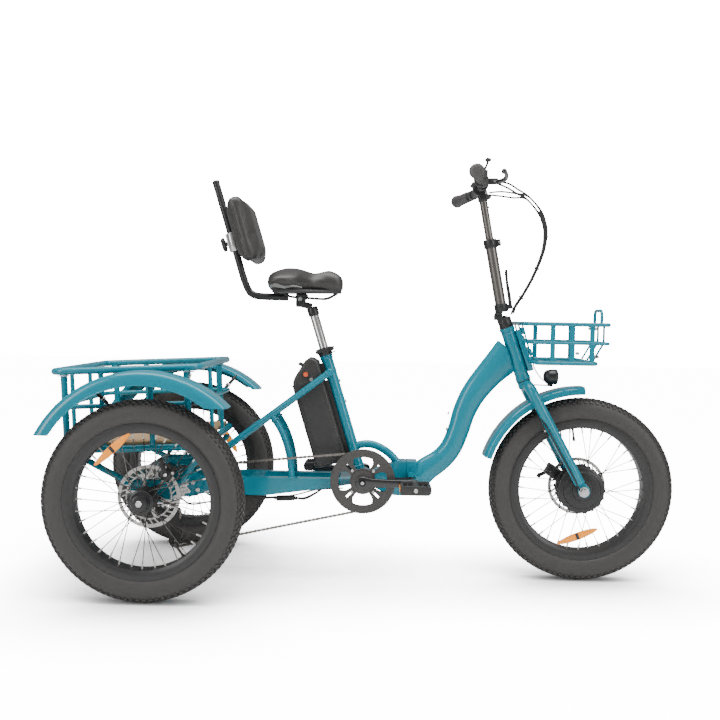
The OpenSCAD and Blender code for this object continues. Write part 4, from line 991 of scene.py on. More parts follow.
turned(shape, [(0, 38.4), (7.4, 38.4), (7.4, 42.4), (6.6, 43.6), (4.4, 43.9), (3.4, 43.2), (0, 42.9)],
       battery_line @ at(-72, 262, 0), 32)
finished("power_switch", shape, orange, "button", ["power_button"])
coat_node(["battery_rail"], satin_black)

cable_black = surface("cable_black", (0.012, 0.012, 0.012), (0.022, 0.021, 0.02), (40, 0.5), (700, 0.25), (0.4, 0.55))
shape = bmesh.new()
tube(shape, smooth_route([(530, -30, 268), (450, -32, 262), (380, -34, 244), (300, -34, 236), (220, -40, 240),
                          (150, -44, 226), (90, -52, 214), (66, -62, 216)]), 2.5, 10)
tube(shape, smooth_route([(530, 30, 268), (430, 32, 258), (330, 34, 238), (240, 34, 232), (140, 34, 226),
                          (100, 60, 224), (90, 130, 240), (92, 200, 270), (94, 252, 300), (78, 258, 336)]), 2.5, 10)
for drop, y in ((8, -24), (14, -14)):
    tube(shape, smooth_route([(480, y, 272), (420, y - 4, 246 - drop), (382, y - 8, 240 - drop / 2),
                              (330, y - 8, 240 - drop / 2), (250, y - 4, 244 - drop), (190, y, 262)]), 2.6, 10)
block(shape, (56, 22, 15), at(356, -33, 235, ry=-3), 4, 3)
for x in (326, 386):
    turned(shape, [(0, -7), (4, -7), (5.6, -3), (5.6, 5), (0, 5)], at(x, -33, 235, ry=90 if x > 356 else -90), 16)
finished("beam_cables", shape, cable_black, "rear_frame", ["rear_cables"])
coat_node(["frame_bolts"], steel)


# ---- Main tube, head tube and folding hinge ----
# A deep bent alloy tube, swelling towards the head tube, welded into half of a cast hinge. A black lever
# locks the hinge, and a bracket on the head tube carries the front basket.
tube_mid = [(740, 0, 296), (760, 0, 308), (785, 0, 329), (825, 0, 358), (855, 0, 395), (877, 0, 450), (894, 0, 508),
            (922, 0, 564), (965, 0, 620), (1010, 0, 668), (1030, 0, 692)]
tube_half = [42, 40, 37, 34, 33, 33, 35, 38, 42, 50, 52]
line = smooth_route(tube_mid, 5)
halves = [v.x for v in smooth_route([(h, 0, 0) for h in tube_half], 5)]
shape = bmesh.new()
tube(shape, line, [(min(h, 24) * 1.0, h) for h in halves], 40)
head_line = at(1070, 0, 604, ry=-19.2)
in_head = head_line.inverted()
far = [v for v in shape.verts if (in_head @ v.co).x > -19.5]
for v in far:
    local = in_head @ v.co
    v.co = head_line @ Vector((-19.5 + 0.2 * (local.x + 19.5) ** 0.5, local.y * 0.8, local.z))
for v in shape.verts:
    if v.co.x < 744:
        v.co.x = 744
turned(shape, [(15, 1), (21, 1), (21, 167), (15, 167)], head_line, 48, close=True)
turned(shape, [(15, 12), (22, 12), (22.6, 8), (22.6, 1.5), (21.6, 0), (15, 0)], head_line, 48, close=True)
turned(shape, [(15, 156), (22, 156), (22.6, 160), (22.6, 166.5), (21.6, 168), (15, 168)], head_line, 48, close=True)
block(shape, (17, 42, 128), head_line @ at(28.6, 0, 86), 2, 2)
finished("main_and_head_tube", shape, teal, "front_frame", ["main_tube", "head_tube"])
coat_node(["hinge_plate"], teal)
shape = bmesh.new()
for i in (2, 8):
    pass
weld(shape, (751.5, 0, 302), (20, 0, 14), 24, 3)
for z in (24, 148):
    weld(shape, head_line @ Vector((0, 0, z)), head_line.to_3x3() @ Vector((0, 0, 1)), 20.4, 1.8)
finished("front_frame_welds", shape, weld_tint, "front_frame", crease=60)
shape = bmesh.new()
turned(shape, [(14.4, -1.2), (22.4, -1.2), (22.8, -0.4), (22.4, 0.4), (14.4, 0.4)], head_line, 48, close=True)
turned(shape, [(14.4, 167.6), (22.6, 167.6), (23, 168.4), (22.6, 169.2), (14.4, 169.2)], head_line, 48, close=True)
finished("headset_seals", shape, plastic, "front_frame")
shape = bmesh.new()
for z in (50, 86, 122):
    turned(shape, [(0, 0), (7, 0), (7.5, 1), (7.5, 4.5), (6.5, 5.5), (3.6, 5.5), (3.6, 2.5), (0, 2.5)],
           head_line @ at(36.4, 0, z, ry=90), 20)
for u, v in ((-37.6, 452), (-33.2, 500)):
    turned(shape, [(0, -2), (5, -2), (5, 1.5), (4, 2.4), (0, 2.4)], at(877 + u * 0.98, -8, v, ry=-74), 16)
finished("frame_bosses", shape, steel, "front_frame")
shape = bmesh.new()
turned(shape, [(0, -8), (7, -8), (8, -7), (8, 7), (7, 8), (0, 8)], at(735, -34, 300), 28)
plate(shape, [(735, -36), (728, -44.5), (700, -46), (690, -45.6), (685, -42), (688, -38), (700, -37), (722, -36),
              (730, -30)], 294, 306, bevel=1.2, segments=2)
finished("fold_lever_cast", shape, satin_black, "fold_lever", ["frame_latch"])


# ---- Front basket ----
# Bent steel rings tied by flat straps, with a raised hoop at the front, clamped to the head tube's
# bracket by plates and wing nuts.
shape = bmesh.new()
for x0, x1, z, r in ((1050, 1290, 776, 6), (1068, 1290, 722, 4.6), (1084, 1256, 664, 6)):
    mid = (x0 + x1) / 2
    ends = [(mid, -152, z), (x1, -152, z), (x1, 152, z), (x0, 152, z), (x0, -152, z), (mid, -152, z)]
    tube(shape, rounded(ends, 24, 6)[:-1], r, 16, loop=True)
tube(shape, rounded([(1290, -45, 770), (1290, -45, 818), (1290, 45, 818), (1290, 45, 770)], 20, 6), 5, 16)


def strap(shape, points, wide, thick=3.6, side=(0, 1, 0)):
    """A flat strap bent along a route; wide lies along side."""
    line = rounded(points, 9, 4)
    side = Vector(side)
    for a, b in zip(line, line[1:]):
        way = b - a
        if way.length < 0.01:
            continue
        up = way.cross(side).normalized()
        turn = Matrix((side, up, way.normalized())).transposed().to_4x4()
        bmesh.ops.create_cube(shape, size=1, matrix=Matrix.Translation((a + b) / 2) @ turn
                              @ Matrix.Diagonal((wide, thick, way.length + 0.4, 1)))


for x in (1127, 1183, 1239):
    strap(shape, [(x, -153, 781), (x, -153, 662), (x, 153, 662), (x, 153, 781)], 14, side=(1, 0, 0))
for y in (-75, 0, 75):
    strap(shape, [(1048, y, 781), (1084, y, 662), (1256, y, 662), (1290, y, 722), (1290, y, 781)], 14)
finished("front_basket_frame", shape, teal, "front_frame", ["front_basket"])
shape = bmesh.new()
for x, z in ((1063, 754), (1086, 690)):
    block(shape, (10, 46, 20), at(x, 0, z, ry=-19), 2, 2)
finished("basket_clamps", shape, teal, "front_frame")
shape = bmesh.new()
for x, y, z in ((1252, -130, 684), (1252, 130, 684), (1270, -40, 764), (1270, 40, 764)):
    turned(shape, [(0, 0), (5, 0), (5.5, -3), (4, -8), (0, -8)], at(x, y, z, ry=-90), 14)
    for wing in (-1, 1):
        block(shape, (9, 3, 9), at(x + 7, y + 6 * wing, z, rz=wing * 20), 1)
finished("front_basket_nuts", shape, steel, "front_frame")


# ---- Fork, front fender, headlight and axle ----
# A teal fork with two straight oval blades and flattened ends on the motor's axle, a short fender on its
# crown, and a black headlight on a bracket.
shape = bmesh.new()
turned(shape, [(0, -23), (20.5, -23), (21, -21), (21, -3), (20, -2), (14.2, -2), (14.2, 175), (0, 175)], head_line, 40)
tube(shape, rounded([(1234, -66, 304), (1091, -66, 567), (1079, -50, 590), (1079, 50, 590), (1091, 66, 567),
                     (1234, 66, 304)], 34, 8), 16, 28)
for side in (-1, 1):
    hanger = [(-20, 30), (-8, 33), (6, 24), (17, 10), (19, -2), (14, -13), (3, -18), (-9, -15), (-17, -4)]
    plate(shape, hanger, -3, 3, at(1248, side * 61, 278, rx=90), 1, 2)
finished("fork_blades", shape, teal, "steerer", ["fork"])
shape = bmesh.new()
for side in (-1, 1):
    for share in (0.42,):
        spot = Vector((1079, side * 66, 586)).lerp(Vector((1234, side * 66, 304)), share) + Vector((-15, 0, -8))
        turned(shape, [(0, 0), (4, 0), (4, 4), (3, 5), (0, 5)], along(spot, spot + Vector((-1, 0, -0.5)))[0], 14)
finished("fork_bosses", shape, steel, "steerer")

front_skin = [(290, 47.6), (297, 48), (303, 46.5), (308, 42), (310.8, 34), (311.8, 20), (312, 0)]
front_skin += [(r, -y) for r, y in reversed(front_skin[:-1])]
front_inside = [(290, -45.2), (297, -45.4), (301.5, -44), (305.8, -40), (308.4, -33), (309.4, -20), (309.6, 0)]
front_inside += [(r, -y) for r, y in reversed(front_inside[:-1])]
shape = bmesh.new()
fender_line = at(1248, 0, 278, rx=90)
turned(shape, front_skin + front_inside, fender_line @ at(rz=90), 40, 72, close=True)
for side in (-1, 1):
    lip(shape, 290.4, side * 46.6, 90, 162, fender_line)
finished("front_fender_shell", shape, teal, "steerer", ["front_fender"], crease=40)

shape = bmesh.new()
lamp_line = at(1152, 0, 616, ry=90)
turned(shape, [(0, -22), (8, -22), (14, -20), (19, -15), (22, -6), (23, 4), (23, 16), (21.6, 18.6), (20.4, 18.6),
               (19.6, 14), (0, 14)], lamp_line, 48)
for z in (-12, -8, -4):
    turned(shape, [(17, z - 1), (22 + z * 0.1, z - 1), (22.4 + z * 0.1, z), (22 + z * 0.1, z + 1), (17, z + 1)],
           lamp_line, 40, close=True)
block(shape, (16, 12, 12), at(1150, 0, 593), 2.5, 2)
strap(shape, [(1094, 0, 591), (1140, 0, 590), (1158, 0, 591)], 12, 3.4)
finished("headlight_body", shape, satin_black, "steerer", ["headlight"])
shape = bmesh.new()
turned(shape, [(0, 14.4), (6, 14.8), (14, 16), (19, 18.6), (19.6, 18), (14, 15.2), (6, 14), (0, 13.8)], lamp_line, 40)
rod(shape, (1150, 0, 616), (1164, 0, 616), 5, 16, 1)
finished("headlight_reflector", shape, steel, "steerer")
clear = bpy.data.materials.new("clear_lens")
clear.use_nodes = True
clear_shader = clear.node_tree.nodes["Principled BSDF"]
for label, value in (("Base Color", (0.95, 0.97, 1, 1)), ("Transmission Weight", 1), ("Roughness", 0.04),
                     ("IOR", 1.45)):
    clear_shader.inputs[label].default_value = value
ribs, rib_bump, rib_place = (clear.node_tree.nodes.new("ShaderNodeTexWave"), clear.node_tree.nodes.new(
    "ShaderNodeBump"), clear.node_tree.nodes.new("ShaderNodeTexCoord"))
ribs.bands_direction = "Y"
ribs.inputs["Scale"].default_value = 90
rib_bump.inputs["Distance"].default_value = 0.0006
clear.node_tree.links.new(rib_place.outputs["Object"], ribs.inputs["Vector"])
clear.node_tree.links.new(ribs.outputs["Fac"], rib_bump.inputs["Height"])
clear.node_tree.links.new(rib_bump.outputs["Normal"], clear_shader.inputs["Normal"])
shape = bmesh.new()
turned(shape, [(0, 22.6), (8, 22.2), (15, 21), (20, 18.9), (20, 17.6), (15, 19.6), (8, 20.8), (0, 21.2)],
       lamp_line, 48)
finished("headlight_lens", shape, clear, "steerer")
shape = bmesh.new()
tube(shape, smooth_route([(1130, 0, 604), (1116, -6, 618), (1098, -16, 646), (1092, -24, 680)]), 2, 8)
for dy in (-2, 2):
    tube(shape, smooth_route([(1096, dy - 14, 562), (1102, -52 + dy, 520), (1130, -84, 470), (1160, -85, 415),
                              (1196, -84, 352), (1222, -80, 306), (1236, -62, 282)]), 2.4, 8)
finished("fork_wires", shape, cable_black, "steerer")
coat_node(["front_axle"], steel)


# ---- Stem base, folding post and handlebar ----
# A black cast stem base, a silver-grey lower post that folds back on a pin and is held by a black lever,
# and a black upper post that slides in it and carries the swept handlebar.
shape = bmesh.new()
turned(shape, [(14.4, 169), (20, 169), (20.6, 171), (20.6, 190), (19, 194), (14.4, 196.3)], head_line, 48, close=True)
block(shape, (40, 34, 16), head_line @ at(0, 0, 191), 4, 3)
for side in (-1, 1):
    plate(shape, [(-8, -16), (14, -16), (15, -2), (11, 5), (3, 8), (-5, 6), (-9, -2)], 9 * side, 18 * side,
          at(986, 0, 800) @ Matrix(((1, 0, 0, 0), (0, 0, 1, 0), (0, 1, 0, 0), (0, 0, 0, 1))), 1, 2)
block(shape, (14, 18, 9), at(1008, 0, 794), 1.5, 2)
finished("stem_base_cast", shape, satin_black, "steerer", ["stem_base"])
post_line = at(1004, 0, 787, ry=-11)
grey_alloy = surface("grey_alloy", (0.17, 0.158, 0.145), (0.13, 0.12, 0.11), (30, 0.6), (700, 0.2), (0.28, 0.4),
                     stretch=(1, 1, 0.1), Metallic=0.85)
shape = bmesh.new()
turned(shape, [(12.2, 26), (16.5, 26), (16.5, 232), (12.2, 232)], post_line, 40, close=True)
finished("lower_post_tube", shape, grey_alloy, "post", ["post_lower"])
shape = bmesh.new()
turned(shape, [(12.4, 40), (20, 40), (20.4, 42), (20.4, 45), (19, 48), (12.4, 48)], post_line, 40, close=True)
turned(shape, [(12.4, 22), (19, 22), (20.4, 24), (20.4, 40), (12.4, 40)], post_line, 40, close=True)
turned(shape, [(12.3, 218), (19, 218), (20.4, 220), (20.4, 241), (19, 244), (12.3, 244)], post_line, 40, close=True)
for side in (-1, 1):
    block(shape, (18, 5, 20), post_line @ at(22, side * 5.4, 230), 1.4, 2)
    block(shape, (18, 4, 14), post_line @ at(24, side * 8.6, 34.6), 1.2, 2)
rod(shape, (986, -20, 800), (986, 20, 800), 4, 20, 0.8)
turned(shape, [(0, -8.4), (8.4, -8.4), (9, -7.6), (9, 7.6), (8.4, 8.4), (0, 8.4)], at(986, 0, 800, rx=90), 32)
block(shape, (20, 16.6, 14), at(991, 0, 806), 2, 2)
finished("lower_post_collars", shape, satin_black, "post")
shape = bmesh.new()
rod(shape, post_line @ Vector((26, -12, 230)), post_line @ Vector((26, 12, 230)), 3.6, 14, 0.6)
turned(shape, [(0, -12), (6, -12), (6.4, -10), (6, -8), (0, -8)], post_line @ at(26, 0, 230, rx=90), 20)
rod(shape, post_line @ Vector((28, -9, 35)), post_line @ Vector((28, 9, 35)), 2.5, 14, 0.3)
finished("post_bolts", shape, steel, "post")
shape = bmesh.new()
turned(shape, [(2.6, -6), (5.6, -6), (6, -5.4), (6, 5.4), (5.6, 6), (2.6, 6)], post_line @ at(28, 0, 35, rx=90), 28,
       close=True)
plate(shape, [(23, 38), (31, 36), (33.4, 44), (34.4, 70), (33.6, 110), (36.4, 138), (37, 146), (31, 147), (28, 138),
              (25.6, 100), (24.6, 60)], -7, 7, post_line @ at(rx=90), 1.8, 3)
finished("post_lever_cast", shape, satin_black, "post_lever", ["post_latch"])

bar_line = rounded([(890, -312, 1179.5), (916, -150, 1178), (926, -70, 1174), (922, 0, 1174), (926, 70, 1174),
                    (916, 150, 1178), (890, 312, 1179.5)], 60, 7)
shape = bmesh.new()
tube(shape, bar_line, 11, 24)
turned(shape, [(0, -23), (18.4, -23), (19, -21.6), (19, 21.6), (18.4, 23), (0, 23)], at(922, 0, 1174, rx=90), 40)
block(shape, (30, 30, 34), post_line @ at(1, 0, 376), 6, 3)
upper = bmesh.new()
turned(upper, [(9, 120), (12, 120), (12, 372), (9, 372)], post_line, 36, close=True)
turned(upper, [(0, 0), (3, 0), (3, 3), (2, 4), (0, 4)], post_line @ at(11.6, 0, 340, ry=90), 14)
finished("upper_post_tube", upper, grey_alloy, "bar")
finished("handlebar_and_stem", shape, satin_black, "bar", ["handlebar"])
shape = bmesh.new()
for side in (-1, 1):
    for z in (-9, 9):
        turned(shape, [(0, 0), (3.8, 0), (4, 2.6), (3.2, 3.6), (1.8, 3.6), (1.8, 1.8), (0, 1.8)],
               at(922 + 18, side * 13, 1174 + z, ry=90), 14)
finished("stem_face_bolts", shape, steel, "bar")


# ---- Brake perches, shifter, throttle and display ----
# Black clamps on the bar: a brake perch at each side, a ribbed twist shifter inside the right grip, a
# thumb throttle, and a small tilted display.
def perch(side):
    place = Matrix.Translation((918, -140, 1178)) @ Matrix.Rotation(radians(-10), 4, "Z") @ at(rx=90)
    return Matrix.Diagonal((1, -side, 1, 1)) @ place


shape, bolts = bmesh.new(), bmesh.new()
for side in (-1, 1):
    place = perch(side)
    turned(shape, [(11.2, -11), (15, -11), (16, -9.6), (16, 9.6), (15, 11), (11.2, 11)], place, 36, close=True)
    for arm_z in (-8, 8):
        block(shape, (34, 16, 4.4), place @ at(26, 1, arm_z), 1.5, 2)
    block(shape, (12, 16, 18), place @ at(14, 1, 0), 2, 2)
    turned(shape, [(0, 0), (5.4, 0), (6, 2), (5, 11), (3.6, 14), (0, 14)], place @ at(40, 2, -6, ry=90, rz=-30), 20)
    turned(bolts, [(0, -11.4), (3.6, -11.4), (4, -10.4), (4, 10.4), (3.6, 11.4), (0, 11.4)], place @ at(34, 0, 0), 16)
turn = Matrix.Translation((910, -172, 1179)) @ Matrix.Rotation(radians(-10), 4, "Z") @ at(rx=90)
turned(shape, [(11.4, -12), (19, -12), (20.6, -10.4), (21, -6), (20.2, 0), (21, 6), (20.6, 10.4), (19, 12),
               (11.4, 12)], turn, 40, close=True)
for a in range(0, 360, 15):
    block(shape, (2.4, 3, 20), turn @ at(rz=a) @ at(20, 0, 0), 0.8, 1)
throttle = Matrix.Translation((924, -92, 1176)) @ Matrix.Rotation(radians(-4), 4, "Z") @ at(rx=90)
turned(shape, [(11.4, -9), (15, -9), (16, -7.8), (16, 7.8), (15, 9), (11.4, 9)], throttle, 36, close=True)
for arm_z in (-6.8, 6.8):
    block(shape, (22, 30, 4.2), throttle @ at(2, 28, arm_z), 1.6, 2)
block(shape, (20, 12, 17), throttle @ at(2, 16, 0), 2, 2)
rod(bolts, throttle @ Vector((2, 38, -9.4)), throttle @ Vector((2, 38, 9.4)), 2, 14, 0.3)
screen = at(924, 56, 1186, ry=35)
block(shape, (50, 44, 12), screen, 3, 3)
turned(shape, [(11.3, -7), (14, -7), (14.6, -6), (14.6, 6), (14, 7), (11.3, 7)], at(924, 60, 1174, rx=90), 32,
       close=True)
finished("bar_control_clamps", shape, plastic, "bar", ["bar_controls"])
finished("bar_control_bolts", bolts, steel, "bar")
shape = bmesh.new()
block(shape, (38, 34, 1.6), screen @ at(0, 0, 6.2), 0.6, 2)
finished("display_glass", shape, gloss_black, "bar")


# ---- Grips, brake levers and thumb lever ----
# Shaped rubber grips with a flared palm rest and a pale end cap, forged black levers with ball ends, and
# a thumb lever on a short stalk.
grip_rubber = surface("grip_rubber", (0.045, 0.043, 0.042), (0.07, 0.067, 0.065), (30, 0.6), (1600, 0.6), (0.5, 0.62))
shape, caps = bmesh.new(), bmesh.new()
for side in (-1, 1):
    flip = Matrix.Diagonal((1, -side, 1, 1))
    grip_line = [(912.5, -178, 1178.6), (909, -196, 1178.8), (905, -214, 1179), (899, -240, 1179), (893, -268, 1179),
                 (887, -296, 1179.2), (883, -318, 1179.4), (882, -323, 1179.4)]
    sizes = [(16.4, 16.4), (17.2, 16.6), (16.6, 16.2), (17, 16.6), (18, 17.4), (19.6, 19), (21.6, 21), (20, 19.6)]
    tube(shape, smooth_route(grip_line, 3), [(p.x, p.y) for p in smooth_route([(*s, 0) for s in sizes], 3)], 28, flip)
    for i in range(9):
        y = -206 - 12 * i
        x = 907 - (y + 206) * -0.2
        turned(shape, [(15.6, -1.4), (17.2 + 0.1 * i, -0.9), (17.2 + 0.1 * i, 0.9), (15.6, 1.4)],
               flip @ at(x, y, 1179.4, rx=90, rz=-12), 28, close=True)
    cap = flip @ at(882.6, -321, 1179.4, rx=90, rz=-11)
    turned(caps, [(0, 0), (19.4, 0), (19.6, 1.5), (17, 3.8), (9, 4.8), (0, 5)], cap, 36)
finished("grip_sleeves", shape, grip_rubber, "bar", ["grips"])
end_grey = surface("end_grey", (0.075, 0.072, 0.07), (0.055, 0.053, 0.052), (30, 0.5), (900, 0.2), (0.35, 0.45))
finished("grip_end_caps", caps, end_grey, "bar")

lever_points = [(36, 0, 2), (44, 0, 6), (53, 0, 15), (61, 1, 28), (66, 2, 44), (69, 3.4, 62), (70, 5, 80),
                (69.6, 6.4, 98), (68, 7.4, 116), (66, 8, 130)]
lever_sizes = [(5.2, 7.6), (5.6, 7.4), (6.2, 7), (7, 6.6), (7.4, 6.2), (7.6, 6), (7.4, 5.8), (6.8, 5.4), (6, 5),
               (5, 4.6)]
for name, side in (("right", -1), ("left", 1)):
    shape = bmesh.new()
    tube(shape, smooth_route(lever_points, 3), [(p.x, p.y) for p in smooth_route([(*s, 0) for s in lever_sizes], 3)],
         18, perch(side))
    bmesh.ops.create_uvsphere(shape, u_segments=20, v_segments=12, radius=8,
                              matrix=perch(side) @ at(66, 8, 132))
    turned(shape, [(2.7, -4.4), (6.4, -4.4), (7, -3.8), (7, 3.8), (6.4, 4.4), (2.7, 4.4)], perch(side) @ at(34, 0, 0),
           24, close=True)
    finished("brake_blade_" + name, shape, gloss_black, name + "_brake", ["brake_lever_" + name])
shape = bmesh.new()
turned(shape, [(2.1, -4.2), (4.8, -4.2), (5.2, -3.6), (5.2, 3.6), (4.8, 4.2), (2.1, 4.2)], throttle @ at(2, 38, 0), 24,
       close=True)
tube(shape, smooth_route([throttle @ Vector(p) for p in ((2, 41, 0), (6, 50, 0), (10, 60, 0), (12, 67, 0))], 4),
     [(3.4, 3.4)] * 4 + [(3.6, 3.4)] * 4 + [(4, 3.4)] * 4 + [(4.4, 3.6)], 16)
turned(shape, [(0, -4), (7, -4), (9, -2), (9.4, 1), (8.4, 4), (5, 6), (0, 6.6)],
       throttle @ at(13, 72, 0, rx=-90), 28)
finished("throttle_paddle", shape, plastic, "throttle", ["thumb_lever"])


# ---- Cables from the bar to the frame ----
# Black outer cables leave the levers forward, hang in a loose bow in front of the post, held together by
# a spiral wrap, and run down to the stem base.
bow = [(1066, -10, 1153), (1103, -8, 1113), (1119, -6, 1078), (1124, -6, 1043), (1117, -6, 990), (1094, -4, 926),
       (1067, -2, 872), (1040, 0, 828), (1032, 0, 806)]
shape = bmesh.new()
for start, lead, lift in ((-1, 6, 3), (-1, 4, -4), (1, 6, 3), (1, 4, -4)):
    leads = [(966, start * 116, 1180 + lift), (1000, start * 84, 1176 + lift * 2), (1032, start * 42, 1166 + lift * 2)]
    tube(shape, smooth_route([Vector(p) for p in leads] + [Vector(p) + Vector((lift, start * 2.6, lift)) for p in bow], 5),
         3, 10)
centre = smooth_route([Vector(p) for p in bow[1:]], 16)
tube(shape, centre, 5, 16)
tube(shape, centre[8:28], 6.8, 16)
for low, high in ((2, 3), (34, 35), (60, 61), (86, 87)):
    strap_at, _ = along(centre[low], centre[high])
    turned(shape, [(5, -2.4), (8, -2.4), (8.2, -1.8), (8.2, 1.8), (8, 2.4), (5, 2.4)], strap_at, 20, close=True)
finished("bar_cable_bows", shape, cable_black,
         ("post", "bar", to_metres @ Vector((1040, 0, 828)), to_metres @ Vector((970, 0, 1165))),
         ["bar_cables"])


# ---- Seat post, clamp and lever ----
# A bright seat post with a micro-adjust head, pinched by the black collar's quick lever.
shape = bmesh.new()
turned(shape, [(0, 142), (13, 142), (14, 143), (14, 446), (13, 448), (0, 448)], seat_line, 40)
finished("seat_post_tube", shape, steel, "seat", ["seat_post"])
shape, bolts = bmesh.new(), bmesh.new()
turned(shape, [(0, -26), (13, -26), (14, -25), (14, 25), (13, 26), (0, 26)], at(391, 0, 838, rx=90), 32)
block(shape, (28, 38, 24), at(390, 0, 825), 5, 3)
block(shape, (34, 30, 20), at(408, 0, 819, ry=12), 5, 3)
turned(shape, [(14.1, 425), (16.6, 426), (17, 427.4), (17, 449), (15, 452), (0, 453)], seat_line, 40)
for side in (-1, 1):
    block(shape, (34, 9, 9), at(394, side * 22, 849, ry=2), 2, 2)
    turned(bolts, [(0, 0), (7, 0), (7.4, 1), (7.4, 5), (6.4, 6), (0, 6)], at(391, side * 26, 838, rx=-90 * side), 6)
finished("saddle_clamp", shape, satin_black, "seat")
shape_rails = bmesh.new()
for side in (-1, 1):
    tube(shape_rails, rounded([(334, side * 34, 862), (352, side * 24, 844), (470, side * 22, 838),
                               (500, side * 12, 856)], 16, 6), 3.6, 14)
finished("saddle_rails", shape_rails, satin_black, "seat")
finished("saddle_clamp_nuts", bolts, steel, "seat")
shape = bmesh.new()
turned(shape, [(3.1, 311.4), (5.6, 311.4), (6, 312), (6, 320), (5.6, 320.6), (3.1, 320.6)], seat_line @ at(26, -21, 0),
       28, close=True)
plate(shape, [(30, -22), (30, -30), (22, -33.4), (0, -34), (-18, -32.6), (-26, -29), (-25, -25), (-16, -27), (0, -28),
              (16, -27), (22, -22)], 311.6, 320.4, seat_line, 1.4, 2)
finished("seat_lever_cast", shape, satin_black, "seat_lever", ["seat_clamp"])


# ---- Saddle ----
# A wide padded saddle in black vinyl over foam, narrowing to a rounded nose, with a moulded tray below,
# a welt round its rim, and a wavy silver inlay low on each side.
def puffed(shape, voxel, pressure, cap, seams=()):
    """Swell a closed foam shape under its cover by cloth pressure; no point moves further than cap."""
    bmesh.ops.recalc_face_normals(shape, faces=shape.faces)
    bmesh.ops.transform(shape, matrix=to_metres, verts=shape.verts)
    data = bpy.data.meshes.new("foam")
    shape.to_mesh(data)
    shape.free()
    foam = bpy.data.objects.new("foam", data)
    bpy.context.scene.collection.objects.link(foam)
    remesh = foam.modifiers.new("remesh", "REMESH")
    remesh.mode, remesh.voxel_size = "VOXEL", voxel / 1000
    graph = bpy.context.evaluated_depsgraph_get()
    data = bpy.data.meshes.new_from_object(foam.evaluated_get(graph))
    foam.modifiers.clear()
    foam.data = data
    before = [v.co.copy() for v in data.vertices]
    cloth = foam.modifiers.new("cloth", "CLOTH")
    cloth.settings.use_pressure = True
    cloth.settings.uniform_pressure_force = pressure
    cloth.settings.effector_weights.gravity = 0
    cloth.settings.quality = 5
    scene = bpy.context.scene
    for step in range(1, 21):
        scene.frame_set(step)
    graph = bpy.context.evaluated_depsgraph_get()
    swollen = bpy.data.meshes.new_from_object(foam.evaluated_get(graph))
    foam.modifiers.clear()
    after = [v.co.copy() for v in swollen.vertices]
    for v, a, b in zip(data.vertices, before, after):
        move = b - a
        if move.length > cap / 1000:
            move *= cap / 1000 / move.length
        v.co = a + move
    scene.frame_set(1)
    shape = bmesh.new()
    shape.from_mesh(data)
    bpy.data.objects.remove(foam)
    bmesh.ops.smooth_vert(shape, verts=shape.verts, factor=0.5, use_axis_x=True, use_axis_y=True, use_axis_z=True)
    bmesh.ops.smooth_vert(shape, verts=shape.verts, factor=0.5, use_axis_x=True, use_axis_y=True, use_axis_z=True)
    bmesh.ops.transform(shape, matrix=to_metres.inverted(), verts=shape.verts)
    return shape


def vinyl_finish():
    """Black vinyl: soft pebbled leather grain with a slight sheen on its crests."""
    material = surface("black_vinyl", (0.028, 0.027, 0.026), (0.042, 0.04, 0.038), (10, 0.5), (900, 0.2), (0.34, 0.46))
    tree = material.node_tree
    new, link = tree.nodes.new, tree.links.new
    place, cells, bump = new("ShaderNodeTexCoord"), new("ShaderNodeTexVoronoi"), new("ShaderNodeBump")
    cells.feature = "SMOOTH_F1"
    cells.inputs["Scale"].default_value = 620
    bump.inputs["Distance"].default_value = 0.0005
    bump.inputs["Strength"].default_value = 0.45
    link(place.outputs["Object"], cells.inputs["Vector"])
    link(cells.outputs["Distance"], bump.inputs["Height"])
    link(bump.outputs["Normal"], tree.nodes["Principled BSDF"].inputs["Normal"])
    return material


vinyl = vinyl_finish()
# stations along the saddle: x, half width, height of the middle, half height
saddle_cut = [(294, 66, 884, 16), (298, 92, 885, 25), (308, 112, 887, 30), (330, 121, 889, 33.5), (358, 117, 890, 34.5),
              (384, 101, 889.5, 33.5), (408, 74, 887, 30), (432, 52, 884.5, 26), (456, 43, 887, 28.5), (480, 40, 889.5, 32),
              (500, 35, 888.5, 30), (514, 27, 886, 25), (521, 17, 882, 17)]
shape = bmesh.new()
stations = smooth_route([(x, w, h) for x, w, h, _ in saddle_cut], 3)
highs = [p.x for p in smooth_route([(h, 0, 0) for *_, h in saddle_cut], 3)]
rings = []
for p, high in zip(stations, highs):
    place = Matrix.Translation((p.x, 0, p.z)) @ at(ry=90) @ Matrix.Diagonal((high, p.y, 1, 1))
    ring = bmesh.ops.create_circle(shape, cap_ends=False, segments=40, radius=1, matrix=place)["verts"]
    for v in ring:
        side = abs(v.co.y) / p.y
        if v.co.z > p.z:
            v.co.z -= 3.5 * max(0, 1 - side * 3) ** 2
        else:
            v.co.z = max(v.co.z, p.z - high * 0.86)
            v.co.y *= 0.985
    rings.append(ring)
for ring, after in zip(rings, rings[1:]):
    edges = [e for e in shape.edges if all(v in ring for v in e.verts) or all(v in after for v in e.verts)]
    bmesh.ops.bridge_loops(shape, edges=edges)
for ring in (rings[0], rings[-1]):
    bmesh.ops.contextual_create(shape, geom=[e for e in shape.edges if all(v in ring for v in e.verts)])
shape = puffed(shape, 4.5, 3.5, 7)
skin = BVHTree.FromBMesh(shape)
piece = finished("saddle_cover", shape, vinyl, "seat", ["saddle"], crease=80)
piece.modifiers.new("smooth", "SUBSURF").levels = 1
piece.modifiers["smooth"].render_levels = 1


def on_skin(tree, origin, way, lift=0.0):
    """Where a line from a point meets a padded skin, lifted off it."""
    hit, normal, *_ = tree.ray_cast(Vector(origin), Vector(way).normalized())
    return (hit + normal * lift) if hit else None


